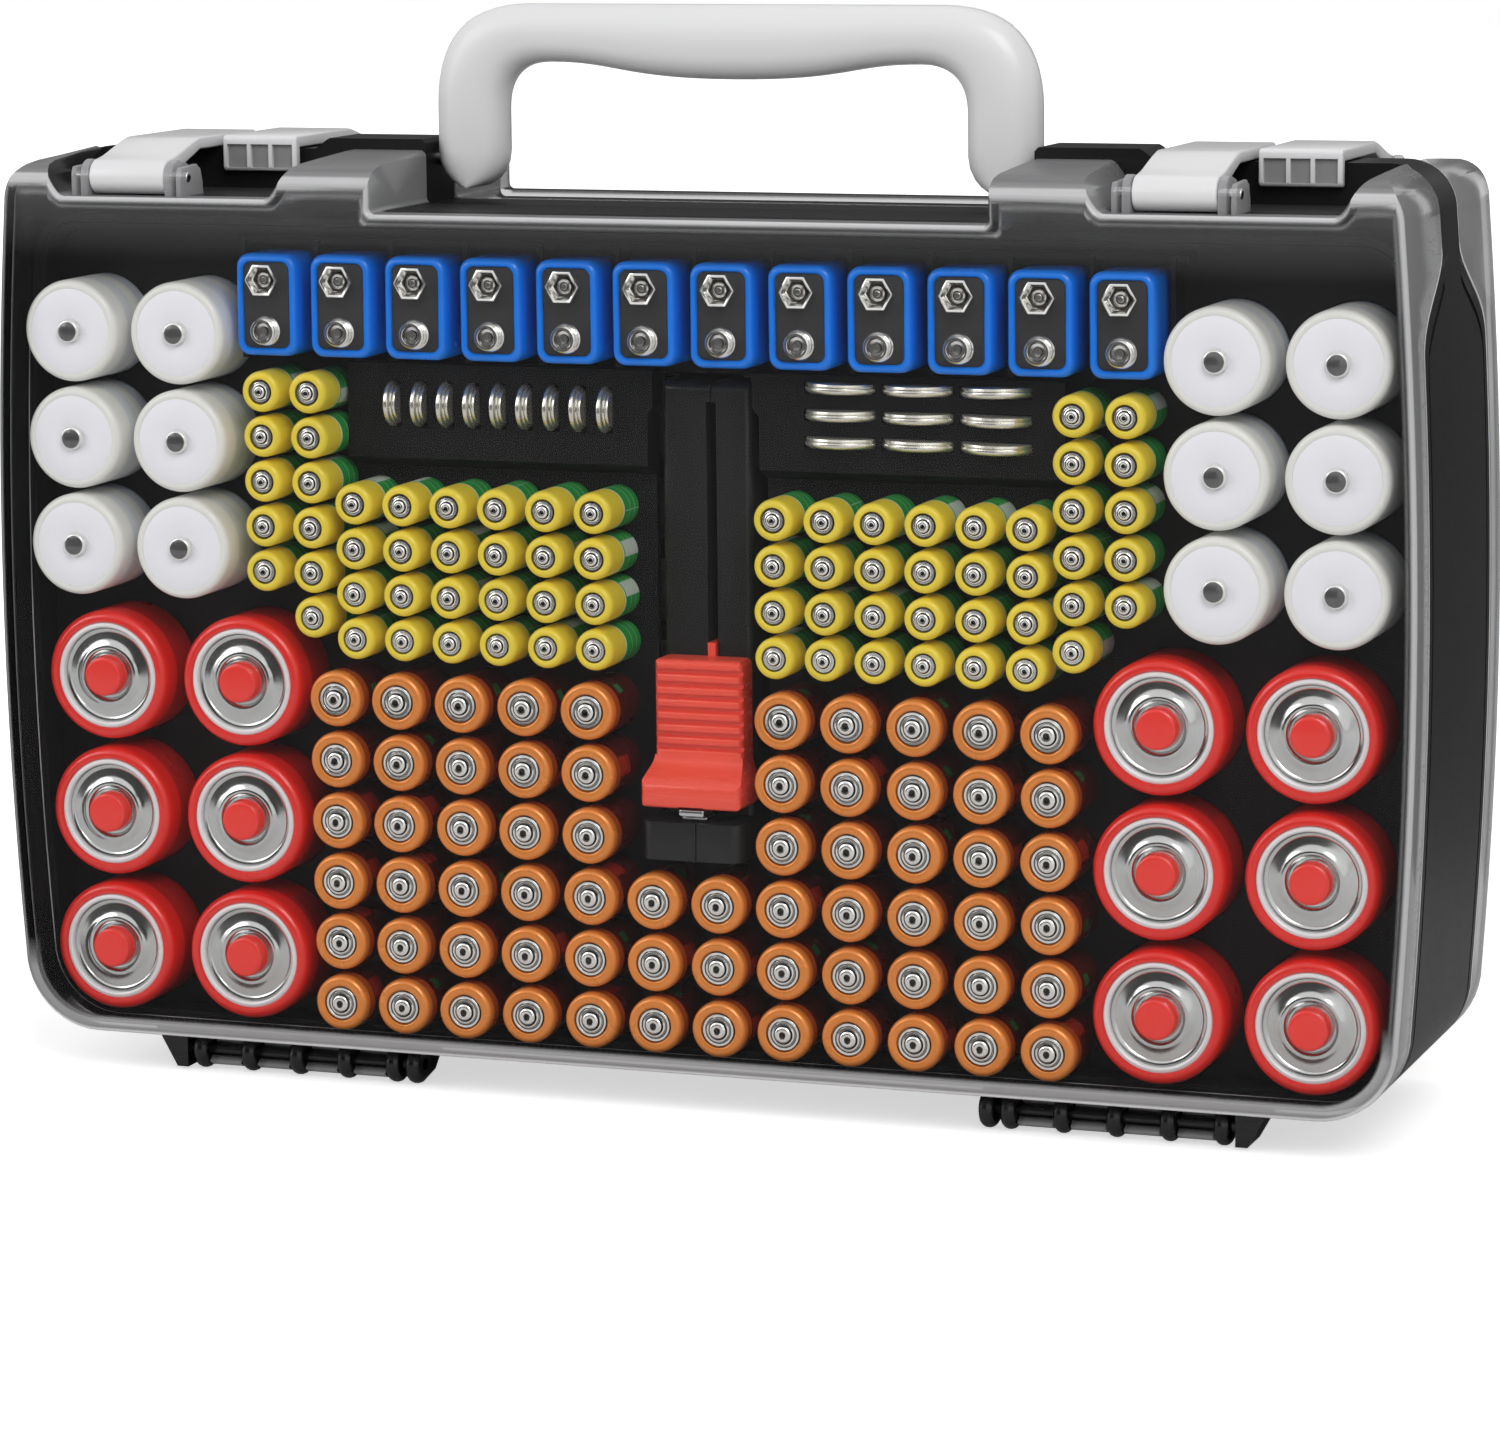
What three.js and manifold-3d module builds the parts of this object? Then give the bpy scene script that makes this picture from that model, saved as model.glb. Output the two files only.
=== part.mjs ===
// Battery organizer case: a two-sided carrying case that stands on its hinges.
// A black middle frame carries a cell tray on each side, a clear hinged cover over
// each tray, two latches for each cover, a folding handle and a battery tester.
// Millimetres. +Z is up, the front faces -Y, and the case stands at z = 0.
import * as THREE from 'three';
import { mergeVertices } from 'three/addons/utils/BufferGeometryUtils.js';
import Module from 'manifold-3d';

const wasm = await Module();
wasm.setup();

// Sizes that all pieces share
const sideBow = 5;
const topCornerRadius = 12;
const bottomCornerRadius = 20;
const clearance = 0.3;
const weldTolerance = 0.0001;
const overrun = 5;
const cornerSteps = 4;
const sideSteps = 4;

// Trays
const trayWall = 1.2;
const trayFloor = 2;
const trayGap = 2.2;
const frontTrayRecess = 24;
const backTrayRecess = 12;
const backTrayDepth = 12;

// Large cells in the front tray, in two columns on each side, and the pockets they stand in
const cellClearance = 0.3;
const pocketBottom = 1.2;
const pocketSides = 12;
const ringShare = 0.82;
const dRadius = 16.6;
const dLength = 60;
const dNubRadius = 4.9;
const dNubHeight = 2.4;
const dFace = 6.3;
const dRowGap = 2.05;
const dColumnGap = 4.4;
const dFromMiddleCells = 3.04;
const dFromSide = 9.5;
const dFromFloor = 4.6;
const dRows = 3;
const cRadius = 12.9;
const cLength = 48.5;
const cNubRadius = 3.2;
const cNubHeight = 1.4;
const cFace = 3.8;
const cRowGap = 1.32;
const cColumnGap = 3.5;
const cFromThinCells = 4.38;
const cFromSide = 7.1;
const cFromLargeCells = 4.26;
const cFromTop = 31.4;
const cRows = 3;

// Small cells that stand in the front tray's floor
const smallSides = 6;
const aaRadius = 7.1;
const aaLength = 50.5;
const aaFace = 4;
const aaGapX = 2.72;
const aaGapZ = 1.37;
const aaFromFloor = 3.95;
const aaColumns = 12;
const aaRows = 6;
const aaShortColumns = 2;
const aaShortFrom = 3;
const aaaRadius = 5.15;
const aaaLength = 44.5;
const aaaFace = 4.8;
const aaaGapX = 2.47;
const aaaGapZ = 1;
const aaaFromTester = 6.6;
const aaaFromMiddleCells = 3.05;
const aaaColumns = 6;
const aaaRows = 4;
const aaaOuterGap = 11.65;
const aaaOuterRise = 27.5;
const aaaOuterRows = [6, 5];

// Shelves over the thin cells, with button cells on the left and coin cells on the right
const shelfInner = 17;
const shelfOuter = 92.5;
const shelfHeight = 25.1;
const shelfFace = 18;
const shelfFromCells = 3.95;
const buttonRadius = 5.8;
const buttonThickness = 5;
const buttonFace = 12;
const buttonFirstX = -78.5;
const buttonGap = 2.1;
const buttonCount = 9;
const buttonFromShelf = 15.5;
const coinRadius = 10;
const coinThickness = 3.2;
const coinFace = 12;
const coinFirstX = 38.5;
const coinGapX = 0.6;
const coinGapZ = 3.6;
const coinFromTop = 2.1;
const coinGrid = 3;

// Block cells in a row at the top
const blockWidth = 16.5;
const blockHeight = 25.5;
const blockFace = 7;
const blockGap = 3.6;
const blockCount = 12;
const blockCorner = 2.4;
const blockFromShelf = 2.05;
const blockFromTop = 24.15;
const terminalRadius = 3.4;
const terminalHeight = 2.6;
const terminalSpacing = 12.8;

// Battery tester in the middle of the front tray
const testerX = 1.2;
const testerWidth = 23.5;
const testerFace = 20;
const testerFromBackTray = 6;
const testerFromCells = 3.41;
const testerFromBlocks = 3.65;
const testerCorner = 2;
const testerFootHeight = 9.4;
const testerFootWidth = 26;
const testerFootFace = 6;
const testerFootRound = 3;
const testerSlot = 2.6;
const testerSlotOffset = 1.35;
const testerSlotDepth = 7;
const testerSlotMargin = 6;
const testerChannel = 9;
const testerChannelDepth = 5;
const sliderFromFoot = 3.6;
const sliderWidth = 26.4;
const sliderNeckWidth = 23;
const sliderHeight = 38.5;
const sliderLip = 13;
const sliderFace = 5.5;
const sliderNeckFace = 12;
const sliderRib = 1;
const sliderRibs = 6;
const sliderNub = 18;
const sliderNubRise = 2.6;
const contactWidth = 6.5;
const contactHeight = 1.6;
const baseContactHeight = 1;
const contactDepth = 6;

// Columns and rows of the cells, counted from the middle and from the body's floor
const aaPitchX = aaRadius * 2 + aaGapX;
const aaPitchZ = aaRadius * 2 + aaGapZ;
const aaaPitchX = aaaRadius * 2 + aaaGapX;
const aaaPitchZ = aaaRadius * 2 + aaaGapZ;
const aaaFirstX = testerWidth / 2 + aaaFromTester + aaaRadius;
const aaaOuterX = aaaFirstX + (aaaColumns - 1) * aaaPitchX + aaaOuterGap;
const aaaEndX = aaaOuterX + (aaaOuterRows.length - 1) * aaaPitchX + aaaRadius;
const dPitch = dRadius * 2 + dRowGap;
const dInnerX = ((aaColumns - 1) * aaPitchX) / 2 + aaRadius + dFromMiddleCells + dRadius;
const dOuterX = dInnerX + dRadius * 2 + dColumnGap;
const dColumns = [dInnerX, dOuterX];
const cPitch = cRadius * 2 + cRowGap;
const cInnerX = aaaEndX + cFromThinCells + cRadius;
const cOuterX = cInnerX + cRadius * 2 + cColumnGap;
const cColumns = [cInnerX, cOuterX];
const dStack = dFromFloor + dRadius * 2 + (dRows - 1) * dPitch;
const cStack = cRadius * 2 + (cRows - 1) * cPitch + cFromTop;
const aaStack = aaFromFloor + aaRadius * 2 + (aaRows - 1) * aaPitchZ;
const aaaStack = aaaFromMiddleCells + aaaRadius * 2 + (aaaRows - 1) * aaaPitchZ;
const upperStack = shelfFromCells + shelfHeight + blockFromShelf + blockHeight + blockFromTop;

// Size of the case, set by the cells that it holds
const halfForCells = Math.max(dOuterX + dRadius + dFromSide, cOuterX + cRadius + cFromSide);
const caseWidth = halfForCells * 2;
const pocketDepth = Math.max(dFace + dLength, cFace + cLength) + cellClearance + pocketBottom;
const caseDepth = pocketDepth + trayGap + backTrayDepth + backTrayRecess;
const bodyHeight = Math.max(dStack + cFromLargeCells + cStack, aaStack + aaaStack + upperStack);

// Hinges and feet under the case
const hingeDiscRadius = 5;
const hingePinRadius = 1.75;
const hingePinGap = 0.3;
const hingeInset = 13;
const hingeFromSide = 109.5;
const hingeDiscThickness = 4;
const hingeDiscPitch = 13.4;
const hingeDiscCount = 5;
const hingeLugGap = 1.5;
const hingeHookThickness = 2;
const hingeWebLength = 16;
const bracketLength = 9;
const bracketEnd = 3;
const hingeSides = 10;
const hingeStart = caseWidth / 2 - hingeFromSide;
const hingeZ = hingeDiscRadius;
const bodyBottom = hingeZ + hingeDiscRadius + clearance;
const bodyTop = bodyBottom + bodyHeight;
const middleZ = bodyBottom + bodyHeight / 2;
const faceY = caseDepth / 2;
const hingeY = faceY - hingeInset;

// Covers
const coverWall = 2;
const rimDepth = 14;
const faceBevel = 2.4;
const bevelMidShare = 0.3;
const spineThickness = 18;
const spineHalf = spineThickness / 2;
const partingFromTop = 46.3;
const partingRise = 26;
const partingLow = bodyTop - partingFromTop;
const partingHigh = partingLow + partingRise;
const hoodRise = 6.5;
const hoodRun = 10;
const hoodSlope = 1.8;
const latchRecessFromSide = 19;
const latchRecessWidth = 58.5;
const latchRecessDepth = 10.1;
const latchRecessOuter = caseWidth / 2 - latchRecessFromSide;
const latchRecessInner = latchRecessOuter - latchRecessWidth;
const recessSlope = 7;
const centreRecessDepth = 13.3;

// Middle frame
const frameWall = 2.2;
const upperWall = 2;
const boxCornerRadius = 14;
const stepFromTop = 38.3;
const stepZ = bodyTop - stepFromTop;
const barRise = 2.7;
const barOverlap = 4;
const barEnd = latchRecessInner + barOverlap;
const barSlope = 4;

// Latches
const latchWidth = 20.5;
const latchInRecess = 18;
const latchOuterX = latchRecessOuter - latchInRecess;
const latchInnerX = latchRecessInner + latchInRecess;
const latchRollRadius = 4.3;
const latchPinRadius = 1.3;
const latchInset = 8;
const latchPlate = 3;
const latchLip = 2.6;
const latchLipDrop = 6;
const latchLipGap = 0.9;
const latchRamp = 18;
const earWidth = 4.6;
const earDepth = 9;
const earSides = 8;

// Handle
const handleFromLatches = 26.8;
const handleHalfWidth = latchRecessInner - handleFromLatches;
const centreRecessHalf = handleHalfWidth + clearance;
const handleLegWidth = 18.6;
const handleDepth = 14;
const handleRise = 36.3;
const handleTop = bodyTop + handleRise;
const handleBar = 14.5;
const gripBulge = 4;
const handleOuterRadius = 25;
const handleInnerRadius = 12;
const handleEdge = 4;
const handlePinRadius = 2;
const handlePinLength = 16;
const handlePinSeat = 8;
const footRadius = handleLegWidth / 2;
const handlePivotAboveRecess = 11;

// Heights of the cells, shelves and tester
const dTopZ = bodyBottom + dStack - dRadius;
const cTopZ = bodyTop - cFromTop - cRadius;
const aaTopZ = bodyBottom + aaStack - aaRadius;
const aaaTopZ = bodyBottom + aaStack + aaaStack - aaaRadius;
const aaaOuterTopZ = aaaTopZ + aaaOuterRise;
const shelfBottom = bodyBottom + aaStack + aaaStack + shelfFromCells;
const shelfTop = shelfBottom + shelfHeight;
const buttonZ = shelfBottom + buttonFromShelf;
const buttonPitch = buttonThickness + buttonGap;
const coinTopZ = shelfTop - coinFromTop;
const coinPitchX = coinRadius * 2 + coinGapX;
const coinPitchZ = coinThickness + coinGapZ;
const blockZ = bodyTop - blockFromTop - blockHeight / 2;
const blockPitch = blockWidth + blockGap;
const testerBottom = aaTopZ - aaShortFrom * aaPitchZ + aaRadius + testerFromCells;
const testerTop = blockZ - blockHeight / 2 - testerFromBlocks;
const testerHeight = testerTop - testerBottom;
const testerDepth = caseDepth - testerFace - backTrayRecess - backTrayDepth - testerFromBackTray;

// Cells lying in the back tray, seen from behind. In a column x is a share of the case's
// width, top and pitch are shares of the body's height; in a row z is a share of that
// height and pitch one of the width.
const backCellFace = 3.4;
const wideLength = 66;
const wideRadius = 9.1;
const smallLength = 28.5;
const smallRadius = 7.8;
const silverLength = 36;
const silverRadius = 8.5;
const goldLength = 27;
const goldRadius = 5.9;
const shortLength = 28;
const shortRadius = 5.1;
const lyingShares = [
  { x: 0.36649, top: 0.83348, pitch: 0.1058, count: 3, length: wideLength, radius: wideRadius },
  { x: 0.21417, top: 0.79063, pitch: 0.08795, count: 3, length: smallLength, radius: smallRadius },
  { x: 0.10736, top: 0.7692, pitch: 0.09509, count: 6, length: silverLength, radius: silverRadius },
  { x: 0, top: 0.77455, pitch: 0.07054, count: 10, length: goldLength, radius: goldRadius },
  { x: 0.38556, top: 0.53036, pitch: 0.07723, count: 6, length: aaLength, radius: aaRadius },
  { x: 0.23488, top: 0.53214, pitch: 0.04911, count: 7, length: aaaLength, radius: aaaRadius },
  { x: 0.23488, top: 0.18839, pitch: 0.05536, count: 2, length: aaaLength, radius: aaaRadius },
  { x: 0.10409, top: 0.18839, pitch: 0.05536, count: 2, length: aaaLength, radius: aaaRadius },
];
const topRowShares = { z: 0.86473, pitch: 0.08665, count: 5, length: shortLength, radius: shortRadius };
const bottomRowShares = { z: 0.07545, pitch: 0.12997, count: 6, length: aaaLength, radius: aaaRadius };

const plasticBlack = new THREE.MeshStandardMaterial({ color: 0x1c1c1d, roughness: 0.45, metalness: 0 });
const smokeClear = new THREE.MeshStandardMaterial({ color: 0x6f7073, roughness: 0.12, metalness: 0 });
const latchWhite = new THREE.MeshStandardMaterial({ color: 0xe4e4e4, roughness: 0.35, metalness: 0 });
const handleGrey = new THREE.MeshStandardMaterial({ color: 0xd2d2d3, roughness: 0.4, metalness: 0 });
const pinSteel = new THREE.MeshStandardMaterial({ color: 0xb8b8ba, roughness: 0.3, metalness: 1 });
const pinBlack = new THREE.MeshStandardMaterial({ color: 0x151515, roughness: 0.5, metalness: 0 });
const dRed = new THREE.MeshStandardMaterial({ color: 0xb3261c, roughness: 0.3, metalness: 0 });
const cWhite = new THREE.MeshStandardMaterial({ color: 0xe6e6e2, roughness: 0.35, metalness: 0 });
const sliderRed = new THREE.MeshStandardMaterial({ color: 0xe0493a, roughness: 0.45, metalness: 0 });

// Half of the case's width at height z, less an inset. The sides bow outwards.
function halfWidthAt(z, inset) {
  const share = (z - middleZ) / (bodyHeight / 2);
  return caseWidth / 2 - sideBow * share * share - inset;
}

// Points of an arc in the XZ plane, angles in degrees.
function arcPoints(x, z, radius, from, to, steps) {
  const points = [];
  for (let i = 0; i <= steps; i += 1) {
    const angle = THREE.MathUtils.degToRad(from + ((to - from) * i) / steps);
    points.push([x + radius * Math.cos(angle), z + radius * Math.sin(angle)]);
  }
  return points;
}

// Right-hand half of an outline, from the bottom centre up to the top profile.
function rightSide(inset, upperInset, topZ, topRadius) {
  const bottom = bodyBottom + inset;
  const lowRadius = bottomCornerRadius - inset;
  const lowX = halfWidthAt(bottom + lowRadius, inset) - lowRadius;
  const points = arcPoints(lowX, bottom + lowRadius, lowRadius, -90, 0, cornerSteps);
  const start = bottom + lowRadius;
  const end = topZ - topRadius;
  const stepped = upperInset > inset;
  for (let i = 1; i < sideSteps; i += 1) {
    const z = start + ((end - start) * i) / sideSteps;
    if (!stepped || z < stepZ) points.push([halfWidthAt(z, inset), z]);
  }
  if (stepped) {
    points.push([halfWidthAt(stepZ, inset), stepZ]);
    points.push([halfWidthAt(stepZ, upperInset), stepZ]);
  }
  const topX = halfWidthAt(end, upperInset) - topRadius;
  return points.concat(arcPoints(topX, end, topRadius, 0, 90, cornerSteps));
}

function mirrored(points) {
  return points.map(([x, z]) => [-x, z]).reverse();
}

function shapeOf(points) {
  return new THREE.Shape(points.map(([x, y]) => new THREE.Vector2(x, y)));
}

// Top edge of a cover from the right corner to the centre, at an inset.
function coverTop(inset) {
  const top = bodyTop - inset;
  const latchFloor = bodyTop - latchRecessDepth - inset;
  const centreFloor = bodyTop - centreRecessDepth - inset;
  const slope = recessSlope;
  return [
    [latchRecessOuter + slope + inset, top],
    [latchRecessOuter + slope / 2 + inset, top - inset / 2 - latchRecessDepth / 5],
    [latchRecessOuter + inset, latchFloor + latchRecessDepth / 5],
    [latchRecessOuter - slope / 4 + inset / 2, latchFloor],
    [latchRecessInner + slope / 4 - inset / 2, latchFloor],
    [latchRecessInner - inset, latchFloor + latchRecessDepth / 5],
    [latchRecessInner - slope / 2 - inset, top - latchRecessDepth / 5],
    [latchRecessInner - slope - inset, top],
    [centreRecessHalf + inset, top],
    [centreRecessHalf + inset, centreFloor],
  ];
}

// Outline of a cover, with its latch recesses and its lowered centre.
function coverPoints(inset) {
  const radius = topCornerRadius - inset;
  const end = bodyTop - topCornerRadius;
  const side = rightSide(inset, inset, bodyTop - inset, radius).slice(0, -cornerSteps - 1);
  const cornerX = halfWidthAt(end, inset) - radius;
  const reach = Math.max(0, latchRecessOuter + recessSlope + inset - cornerX) / radius;
  const angle = THREE.MathUtils.radToDeg(Math.acos(Math.min(1, reach)));
  const corner = arcPoints(cornerX, end, radius, 0, angle, cornerSteps);
  const right = [...side, ...corner.slice(0, -1), ...coverTop(inset)];
  return right.concat(mirrored(right));
}

function coverOutline(inset) {
  return shapeOf(coverPoints(inset));
}

// Outline of the box under the covers' top walls.
function boxOutline(inset, upperInset) {
  const top = bodyTop - centreRecessDepth - upperInset;
  const right = rightSide(inset, upperInset, top, boxCornerRadius - upperInset);
  return shapeOf(right.concat(mirrored(right)));
}

// A closed mesh as a solid for cutting and joining.
function toSolid(geometry) {
  const bare = geometry.clone();
  bare.deleteAttribute('normal');
  bare.deleteAttribute('uv');
  const merged = mergeVertices(bare, weldTolerance);
  const index = merged.index.array;
  const faces = [];
  for (let i = 0; i < index.length; i += 3) {
    const [a, b, c] = index.slice(i, i + 3);
    if (a !== b && b !== c && c !== a) faces.push(a, b, c);
  }
  return new wasm.Manifold(new wasm.Mesh({
    numProp: 3,
    vertProperties: new Float32Array(merged.attributes.position.array),
    triVerts: new Uint32Array(faces),
  }));
}

function joined(solids) {
  return solids.slice(1).reduce((sum, next) => sum.add(next), solids[0]);
}

function cutBy(solid, tools) {
  return tools.reduce((rest, tool) => rest.subtract(tool), solid);
}

// An XZ shape pulled from yFront to yBack.
function slab(shape, yFront, yBack) {
  const geometry = new THREE.ExtrudeGeometry(shape, { depth: yBack - yFront, bevelEnabled: false });
  geometry.rotateX(Math.PI / 2);
  geometry.translate(0, yBack, 0);
  return toSolid(geometry);
}

// A skin over rings of XZ points, each ring at its own y, closed at both ends.
function loft(rings) {
  const count = rings[0].points.length;
  const positions = [];
  rings.forEach(({ y, points }) => points.forEach(([x, z]) => positions.push(x, y, z)));
  const index = [];
  for (let ring = 0; ring < rings.length - 1; ring += 1) {
    for (let i = 0; i < count; i += 1) {
      const a = ring * count + i;
      const b = ring * count + ((i + 1) % count);
      index.push(a, b + count, b, a, a + count, b + count);
    }
  }
  const last = (rings.length - 1) * count;
  const flat = (ring) => ring.points.map(([x, z]) => new THREE.Vector2(x, z));
  THREE.ShapeUtils.triangulateShape(flat(rings[0]), []).forEach(([a, b, c]) => index.push(a, b, c));
  THREE.ShapeUtils.triangulateShape(flat(rings[rings.length - 1]), []).forEach(([a, b, c]) => {
    index.push(last + a, last + c, last + b);
  });
  const geometry = new THREE.BufferGeometry();
  geometry.setAttribute('position', new THREE.BufferAttribute(new Float32Array(positions), 3));
  geometry.setIndex(index);
  return toSolid(geometry);
}

// A YZ profile pulled along X from xLeft to xRight.
function bar(points, xLeft, xRight) {
  const shape = new THREE.Shape(points.map(([y, z]) => new THREE.Vector2(y, z)));
  const geometry = new THREE.ExtrudeGeometry(shape, { depth: xRight - xLeft, bevelEnabled: false });
  geometry.rotateX(Math.PI / 2);
  geometry.rotateZ(Math.PI / 2);
  geometry.translate(xLeft, 0, 0);
  return toSolid(geometry);
}

function block(x, y, z, width, depth, height) {
  const geometry = new THREE.BoxGeometry(width, depth, height);
  geometry.translate(x, y, z);
  return toSolid(geometry);
}

// A cylinder along X.
function rodX(xLeft, xRight, y, z, radius, sides) {
  const geometry = new THREE.CylinderGeometry(radius, radius, xRight - xLeft, sides);
  geometry.rotateZ(Math.PI / 2);
  geometry.translate((xLeft + xRight) / 2, y, z);
  return toSolid(geometry);
}

// A cylinder along Y.
function rodY(x, yFront, yBack, z, radius, sides) {
  const geometry = new THREE.CylinderGeometry(radius, radius, yBack - yFront, sides);
  geometry.translate(x, (yFront + yBack) / 2, z);
  return toSolid(geometry);
}

function turnedAround(solid) {
  return solid.rotate([0, 0, 180]);
}

function addPiece(group, name, solid, material) {
  const mesh = solid.getMesh();
  const geometry = new THREE.BufferGeometry();
  geometry.setAttribute('position', new THREE.BufferAttribute(new Float32Array(mesh.vertProperties), 3));
  geometry.setIndex(new THREE.BufferAttribute(new Uint32Array(mesh.triVerts), 1));
  geometry.computeVertexNormals();
  const piece = new THREE.Mesh(geometry, material);
  piece.name = name;
  group.add(piece);
}

// Curve of the joint between cover and frame seen from the side, moved by an offset.
function partingCurve(offset) {
  const low = -faceY + rimDepth + offset;
  const high = -spineHalf - clearance + offset;
  const run = high - low;
  const rise = partingHigh - partingLow;
  return [
    [low, partingLow - offset],
    [low + run / 8, partingLow + rise / 4 - offset],
    [low + run / 3, partingLow + rise / 2 - offset],
    [low + (run * 2) / 3, partingHigh - rise / 4 - offset],
    [high, partingHigh - offset],
  ];
}

// Space behind the joint line: what the frame's outer wall fills, mirrored for the back.
function behindParting(offset) {
  const curve = partingCurve(offset);
  const front = curve[0][0];
  const profile = [[front, -overrun], ...curve, [0, curve[curve.length - 1][1]], [0, -overrun]];
  return bar(profile, -caseWidth, caseWidth);
}

// The rounded top of the shoulders, seen from the side.
function hood(inset) {
  const front = -faceY - overrun + inset;
  const low = bodyTop - hoodRise - hoodSlope - inset;
  const profile = [
    [front, -overrun],
    [front, low - hoodRise / 4],
    [-faceY + inset, low - hoodRise / 4],
    [-faceY + hoodRun / 8 + inset, low + hoodRise / 4],
    [-faceY + hoodRun / 2 + inset, low + (hoodRise * 3) / 4],
    [-faceY + hoodRun + inset, low + hoodRise],
    [-spineHalf, bodyTop - inset],
    [overrun, bodyTop - inset],
    [overrun, -overrun],
  ];
  return bar(profile, -caseWidth, caseWidth);
}

// Left edges of the hinge discs of the right-hand group.
function discStarts() {
  const first = hingeStart + hingeDiscThickness + hingeLugGap;
  return Array.from({ length: hingeDiscCount }, (_, i) => first + i * hingeDiscPitch);
}

// A disc around the hinge axis with a web that runs back under the frame.
function hingeDisc(xLeft, xRight) {
  const webTop = bodyBottom + frameWall / 2;
  const profile = [
    [-hingeY, hingeZ - hingeDiscRadius],
    [-hingeY + hingeDiscRadius, hingeZ - hingeDiscRadius],
    [-hingeY + hingeWebLength, webTop],
    [-hingeY + hingeInset - rimDepth + overrun, webTop],
    [-hingeY, hingeZ],
  ];
  return rodX(xLeft, xRight, -hingeY, hingeZ, hingeDiscRadius, hingeSides).add(bar(profile, xLeft, xRight));
}

// The triangular bracket that ends each hinge group.
function hingeBracket(xLeft) {
  const body = hingeDisc(xLeft, xLeft + bracketLength);
  const slope = shapeOf([
    [xLeft + bracketEnd, -overrun],
    [xLeft + bracketLength + overrun, -overrun],
    [xLeft + bracketLength + overrun, bodyBottom + frameWall],
    [xLeft + bracketLength, bodyBottom],
  ]);
  return body.subtract(slab(slope, -caseDepth, caseDepth));
}

// What the hinge pin leaves free around itself.
function hingeBore(xLeft, xRight) {
  return rodX(xLeft, xRight, -hingeY, hingeZ, hingePinRadius + hingePinGap, hingeSides);
}

// All that the frame carries at one hinge: cheek, discs, bracket, with the pin's bore.
function frameHinge() {
  const starts = discStarts();
  const end = starts[hingeDiscCount - 1] + hingeDiscThickness + hingeLugGap;
  const solids = starts.map((x) => hingeDisc(x, x + hingeDiscThickness));
  solids.push(hingeDisc(hingeStart, hingeStart + hingeDiscThickness));
  solids.push(hingeBracket(end));
  return joined(solids).subtract(hingeBore(hingeStart - overrun, end + bracketEnd));
}

// The clear hooks of a cover that sit on the pin between the frame's discs.
function coverHinge() {
  const starts = discStarts();
  const outer = hingePinRadius + hingePinGap + hingeHookThickness;
  const solids = [];
  for (let i = 0; i < hingeDiscCount - 1; i += 1) {
    const left = starts[i] + hingeDiscThickness + clearance;
    const right = starts[i + 1] - clearance;
    const webTop = bodyBottom + coverWall;
    const webY = -hingeY - outer / 2 + hingeHookThickness / 2;
    const web = block((left + right) / 2, webY, (hingeZ + webTop) / 2,
      right - left, hingeHookThickness, webTop - hingeZ);
    solids.push(rodX(left, right, -hingeY, hingeZ, outer, hingeSides), web);
  }
  return joined(solids).subtract(hingeBore(hingeStart, hingeStart + caseWidth));
}

function mirroredX(solid) {
  return solid.mirror([1, 0, 0]);
}

const rollY = -faceY + latchInset;
const rollZ = bodyTop - latchRecessDepth + latchRollRadius + clearance;
const plateTop = bodyTop + latchPlate + clearance;
const latchCentres = [-latchOuterX, latchInnerX];

// What a latch's pin leaves free around itself.
function latchBore(xLeft, xRight) {
  return rodX(xLeft, xRight, rollY, rollZ, latchPinRadius + clearance, earSides);
}

// The side plates that hold a latch's pin, with their bore.
function latchEars(x) {
  const floor = bodyTop - latchRecessDepth - coverWall / 2;
  const inner = latchWidth / 2 + clearance;
  const profile = [
    [rollY - latchRollRadius, floor],
    [rollY + earDepth, floor],
    [rollY + earDepth - latchPinRadius, rollZ + latchPinRadius * 2],
    [rollY + latchRollRadius, rollZ + latchPinRadius * 2],
    [rollY + latchRollRadius / 2, rollZ + latchRollRadius],
    [rollY - latchRollRadius / 2, rollZ + latchRollRadius],
    [rollY - latchRollRadius, rollZ + latchRollRadius / 2],
  ];
  const left = bar(profile, x - inner - earWidth, x - inner);
  const right = bar(profile, x + inner, x + inner + earWidth);
  const reach = inner + earWidth + overrun;
  return left.add(right).subtract(latchBore(x - reach, x + reach));
}

// Front cover: a clear shell with a rounded face edge, deep at the top and shallow below.
function coverSolid() {
  const back = -spineHalf - clearance;
  const outer = loft([
    { y: -faceY, points: coverPoints(faceBevel) },
    { y: -faceY + faceBevel * bevelMidShare, points: coverPoints(faceBevel * bevelMidShare) },
    { y: -faceY + faceBevel, points: coverPoints(0) },
    { y: back, points: coverPoints(0) },
  ]).intersect(hood(0));
  const inner = slab(coverOutline(coverWall), -faceY + coverWall, overrun).intersect(hood(coverWall));
  const shell = cutBy(outer, [inner, behindParting(0)]);
  const hinges = coverHinge();
  const ears = latchCentres.map(latchEars);
  return joined([shell, hinges, mirroredX(hinges), ...ears]);
}

// One latch: a roll on the cover's pin, a plate over the frame's spine and a lip behind it.
function latchSolid(x) {
  const lipFront = spineHalf + latchLipGap;
  const underside = plateTop - latchPlate;
  const rampEnd = rollY + latchRamp;
  const profile = [
    [rollY, rollZ + latchRollRadius],
    [rampEnd, plateTop],
    [lipFront + latchLip, plateTop],
    [lipFront + latchLip, underside - latchLipDrop],
    [lipFront, underside - latchLipDrop],
    [lipFront, underside],
    [rampEnd, underside],
    [rollY, rollZ],
  ];
  const left = x - latchWidth / 2;
  const right = x + latchWidth / 2;
  const body = rodX(left, right, rollY, rollZ, latchRollRadius, hingeSides).add(bar(profile, left, right));
  return body.subtract(latchBore(left - overrun, right + overrun));
}

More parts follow.
